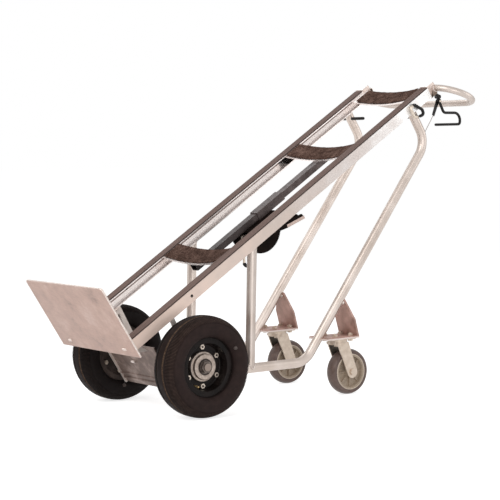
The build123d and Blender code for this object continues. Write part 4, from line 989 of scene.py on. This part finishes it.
# Ratchet lever: two black arms on the drum's spindle and a bare steel plate across their ends.
# The plate is rubbed to a pinkish grey and carries the dark grip.
arm_low, arm_high, arm_bore = 0.0275, 0.0305, 0.00908
arm_below = [(-14, -12.5), (30, -12.5), (76, -26), (142, -38)]
arm_above = [(139, -21), (76, -8), (0, 12.5), (-14, 12.5)]
arm_bends = 0.001 * np.array([12, 10, 12, 4, 4, 12, 3, 12])
spindle = drum[[0, 2]]
arm_outline = bent_line(spindle + 0.001 * np.array(arm_below + arm_above), arm_bends, 8, closed=True)
tray_place, tray_tilt = drum + np.array([0.109, 0, -0.030]), math.radians(11)
tray_half, tray_wall, tray_edge, tray_roll = 0.033, 0.002, 0.0006, 0.002
flange_height, flange_sheet, flange_edge, flange_roll = 0.007, 0.0008, 0.0003, 0.0015
tray_outline = rounded((-tray_half, -arm_high), (tray_half, arm_high), tray_roll, 5)
flange_outline = rounded((-tray_half, -tray_wall), (tray_half, flange_height), flange_roll, 4)


def holed(outline, centre, radius, low, high, place):
    """A plate with a round hole: rows run from the hole out over one face, round the rim and back over the
    other; each hole point lies on the ray from the hole's middle to its outline point."""
    bore = centre + radius * unit(outline - centre)
    flat = np.stack([bore, outline, outline, bore])
    level = np.array([low, low, high, high])[:, None]
    return woven(place(flat[..., 0], flat[..., 1], level), ring=True, loop=True)


def at_tray(run, side, level):
    """A place on the tilted tray: along it, across it and out from it."""
    along = tray_place[0] + run * math.cos(tray_tilt) + level * math.sin(tray_tilt)
    return at_rail(along, side, tray_place[2] - run * math.sin(tray_tilt) + level * math.cos(tray_tilt))


def beside_tray(way):
    """The place of a flange at one side of the tray: along it, out from it, and its level to that side."""
    return lambda run, level, out: at_tray(run, way * out, level)


arms = [holed(arm_outline, spindle, arm_bore, arm_low, arm_high, on_side(way)) for way in ways.values()]
piece("lever_arms", arms, oiled, "ratchet_lever", ["ratchet_lever"], 30)
rub = [(0.3, (0.42, 0.31, 0.265)), (0.7, (0.63, 0.50, 0.45))]
bare = mottled("bare_steel", 160.0, rub, (0.34, 0.5), 0.55, detail=4.0)
tray = [plate(tray_outline, -tray_wall, tray_wall, tray_edge, at_tray)]
for way in ways.values():
    tray.append(plate(flange_outline, arm_high, arm_high + flange_sheet, flange_edge, beside_tray(way)))
piece("lever_tray", tray, bare, "ratchet_lever")

# Tie eyes: black steel wire, a rod through each side tube bent into a closed loop beside the rail.
# The front limb of each loop is painted zinc bright, as a highlight.
eye_wire, eye_bend, eye_ease, eye_root, highlight_from = 0.0045, 0.007, 0.98, 0.072, 0.6
eye_drop, eye_behind, eye_beside = 0.003, 0.016, 0.0065
eye_along, eye_out, eye_plane = tube_top - eye_drop, rail_back - eye_behind, rail_high[1] + eye_beside
eye_corners = [(0, 0), (0, 0), (-2, 1), (-2, 5.3), (0.6, 5.3), (3.2, 1.5), (3, -0.7), (0.3, -0.1)]
eye_steps = eye_bend * np.array(eye_corners)
eye_spread = np.array([eye_root] + [eye_plane] * (len(eye_corners) - 1))
for side, way in ways.items():
    corners = at_rail(eye_along + eye_steps[:, 0], way * eye_spread, eye_out + eye_steps[:, 1])
    loop = wire(bent_line(corners, eye_bend * eye_ease, 12), eye_wire)
    tie_eye = piece(f"eye_wire_{side}", [loop], black, "frame", [f"tie_eye_{side}"])
    centres = face_rows(tie_eye, "center")
    highlit_limb = (centres - axle) @ along_rail < eye_along - highlight_from * eye_bend
    more_skins(tie_eye, [zinc], highlit_limb & (np.abs(centres[:, 1]) > eye_plane - eye_wire))

# Squeeze lever: black steel wire hung from a lug on the left end block, its grip under the handle.
# Two rolled eyes take the pivot bolt and the clevis pin; the pin has a bright rivet head.
dress(["lever_lug", "cable_clevis"], black)
lever_wire, lever_bore, lever_eye, lever_half, lever_roll = 0.004, 0.00258, 0.006, 0.0045, 0.0008
lever_bends = [0, 0.014, 0.022, 0.0075, 0]
pivot, pin = joint_place("release_lever_squeeze"), joint_place("cable_clevis_turn")
crank, knee, grip = pin + np.array([(0.0185, 0, -0.034), (0.0835, 0, -0.034), (0.0835, 0, -0.067)])
grip_length, eye_reach = 0.106, (lever_bore + lever_eye) / 2
neck_marks = np.linspace(eye_reach, np.linalg.norm(pin - pivot) - eye_reach, 8)[:, None]
neck_line = pivot + neck_marks * unit(pin - pivot)
arm_path = np.stack([pin + eye_reach * unit(crank - pin), crank, knee, grip, grip + grip_length * across])
eye_profile = rounded((lever_bore, -lever_half), (lever_eye, lever_half), lever_roll, 4)
lever = [solid(carried(circle(lever_wire, 16), neck_line))]
lever += [wire(bent_line(arm_path, lever_bends, 16), lever_wire)]
lever += [turned(eye_profile, place, 32) for place in (pivot, pin)]
piece("lever_wire", lever, black, "release_lever", ["release_lever"], 50)
rivet_dome = [(pole, -0.0079), (0.0022, -0.0076), (0.0036, -0.0062), (0.0038, -0.0049), (pole, -0.0049)]
rivet_line = bent_line(np.array(rivet_dome), [0, 0.001, 0.001, 0.0002, 0], 4)
rivet = turned(rivet_line, pin, 24, closed=False)
piece("clevis_rivet", [rivet], zinc, "cable_clevis")

# Release cable: thin grey steel rope of six strands, oiled.
# It runs straight from the clevis into the left side tube.
cable_top, cable_port = pin + np.array([(-0.0175, 0.0063, -0.042), (-0.0506, 0.0063, -0.0906)])
cable_tail, cable_start, cable_radius = 0.014, 0.0003, 0.001
cable_strands, cable_lay, cable_lobe = 6, 0.009, 0.1


def rope_form():
    """A lobed ring carried along a straight line, turning once in each lay length."""
    run = unit(cable_port - cable_top)
    one = np.cross(run, across)
    marks = np.linspace(cable_start, np.linalg.norm(cable_port - cable_top) + cable_tail, 140)[:, None]
    turn = np.linspace(0, 2 * math.pi, 36, endpoint=False)
    lobes = np.cos(cable_strands * (turn - 2 * math.pi * marks / cable_lay))
    radius = cable_radius * (1 - cable_lobe + cable_lobe * lobes)
    ring = radius[..., None] * (np.cos(turn)[:, None] * one + np.sin(turn)[:, None] * across)
    return solid(cable_top + marks[..., None] * run + ring)


oil = [(0.3, (0.22, 0.18, 0.155)), (0.7, (0.40, 0.34, 0.30))]
strand = mottled("cable_strand", 400.0, oil, 0.4, 0.6, detail=2.0)
piece("cable_rope", [rope_form()], strand, "frame", ["release_cable"])

# Floor and light: a white studio floor that keeps a faint shadow, and a white surround.
# Both show white to the camera and in gloss, and the object is lit by four soft lamps.
floor_half, floor_glow, surround_light = 40, 0.74, 0.33


def seen_ray(tree):
    """1 for a ray from the camera, or through gloss or glass, else 0; returns the socket."""
    ray = filled(tree, "LightPath", {}).outputs
    seen = reckon(tree, "MAXIMUM", ray["Is Camera Ray"], ray["Is Glossy Ray"])
    return reckon(tree, "MAXIMUM", seen, ray["Is Transmission Ray"])


pale, tree = new_skin("pale_floor")
tree.nodes.clear()
matt = filled(tree, "BsdfDiffuse", {"Color": (0.8, 0.8, 0.8)})
glow = filled(tree, "Emission", {"Strength": reckon(tree, "MULTIPLY", seen_ray(tree), floor_glow)})
lit_floor = filled(tree, "AddShader", {0: matt.outputs[0], 1: glow.outputs[0]})
filled(tree, "OutputMaterial", {"Surface": lit_floor.outputs[0]})
pale.cycles.emission_sampling = "NONE"
ground = bpy.data.meshes.new("floor")
floor_corners = [(-floor_half, -floor_half, 0), (floor_half, -floor_half, 0)]
floor_corners += [(floor_half, floor_half, 0), (-floor_half, floor_half, 0)]
ground.from_pydata(floor_corners, [], [(0, 1, 2, 3)])
ground.materials.append(pale)
floor = placed("floor", ground)
world = bpy.data.worlds.new("white_surround")
bpy.context.scene.world = world
world.use_nodes = True
tree = world.node_tree
tree.nodes.clear()
surround = span(tree, seen_ray(tree), surround_light, 1.0, 0.0, 1.0)
sky = filled(tree, "Background", {"Color": (1, 1, 1), "Strength": surround})
filled(tree, "OutputWorld", {"Surface": sky.outputs[0]})


def soft_lamp(name, place, target, size, watts):
    """A square area lamp at a place, turned to face a target."""
    data = bpy.data.lights.new(name, "AREA")
    data.size = size
    data.energy = watts
    lamp = placed(name, data)
    lamp.location = place
    lamp.rotation_euler = (Vector(target) - Vector(place)).to_track_quat("-Z", "Y").to_euler()


soft_lamp("key_lamp", (2.3, -1.7, 1.2), (0.2, 0, 0.5), 1.1, 7)
soft_lamp("front_lamp", (-1.2, -3.9, 1.0), (0, 0, 0.4), 2.2, 36)
soft_lamp("fill_lamp", (-2.6, -0.8, 2.6), (-0.1, 0, 0.35), 2.4, 56)
soft_lamp("back_lamp", (0.8, 3.0, 3.2), (0, 0, 0.4), 2.0, 18)

# Camera: where the picture was taken from, fitted to the object's corners.
# It is turned by yaw and pitch, then rolled a little about its own look.
eye = Vector(axle) + Vector((-2.39543, -3.59306, 0.56369))
yaw, pitch, roll = math.radians(36.97), math.radians(3.67), math.radians(-0.59)
look = Vector((math.sin(yaw) * math.cos(pitch), math.cos(yaw) * math.cos(pitch), -math.sin(pitch)))
level_right = look.cross(Vector((0, 0, 1))).normalized()
level_up = level_right.cross(look)
right = level_right * math.cos(roll) + level_up * math.sin(roll)
up = level_up * math.cos(roll) - level_right * math.sin(roll)
lens = bpy.data.cameras.new("camera")
lens.sensor_width = 36.0
lens.lens = 117.47
lens.clip_end = 200.0
camera = placed("camera", lens)
pose = Matrix((right, up, -look)).transposed().to_4x4()
pose.translation = eye
camera.matrix_world = pose
bpy.context.scene.camera = camera
bpy.context.scene.view_settings.view_transform = "Standard"
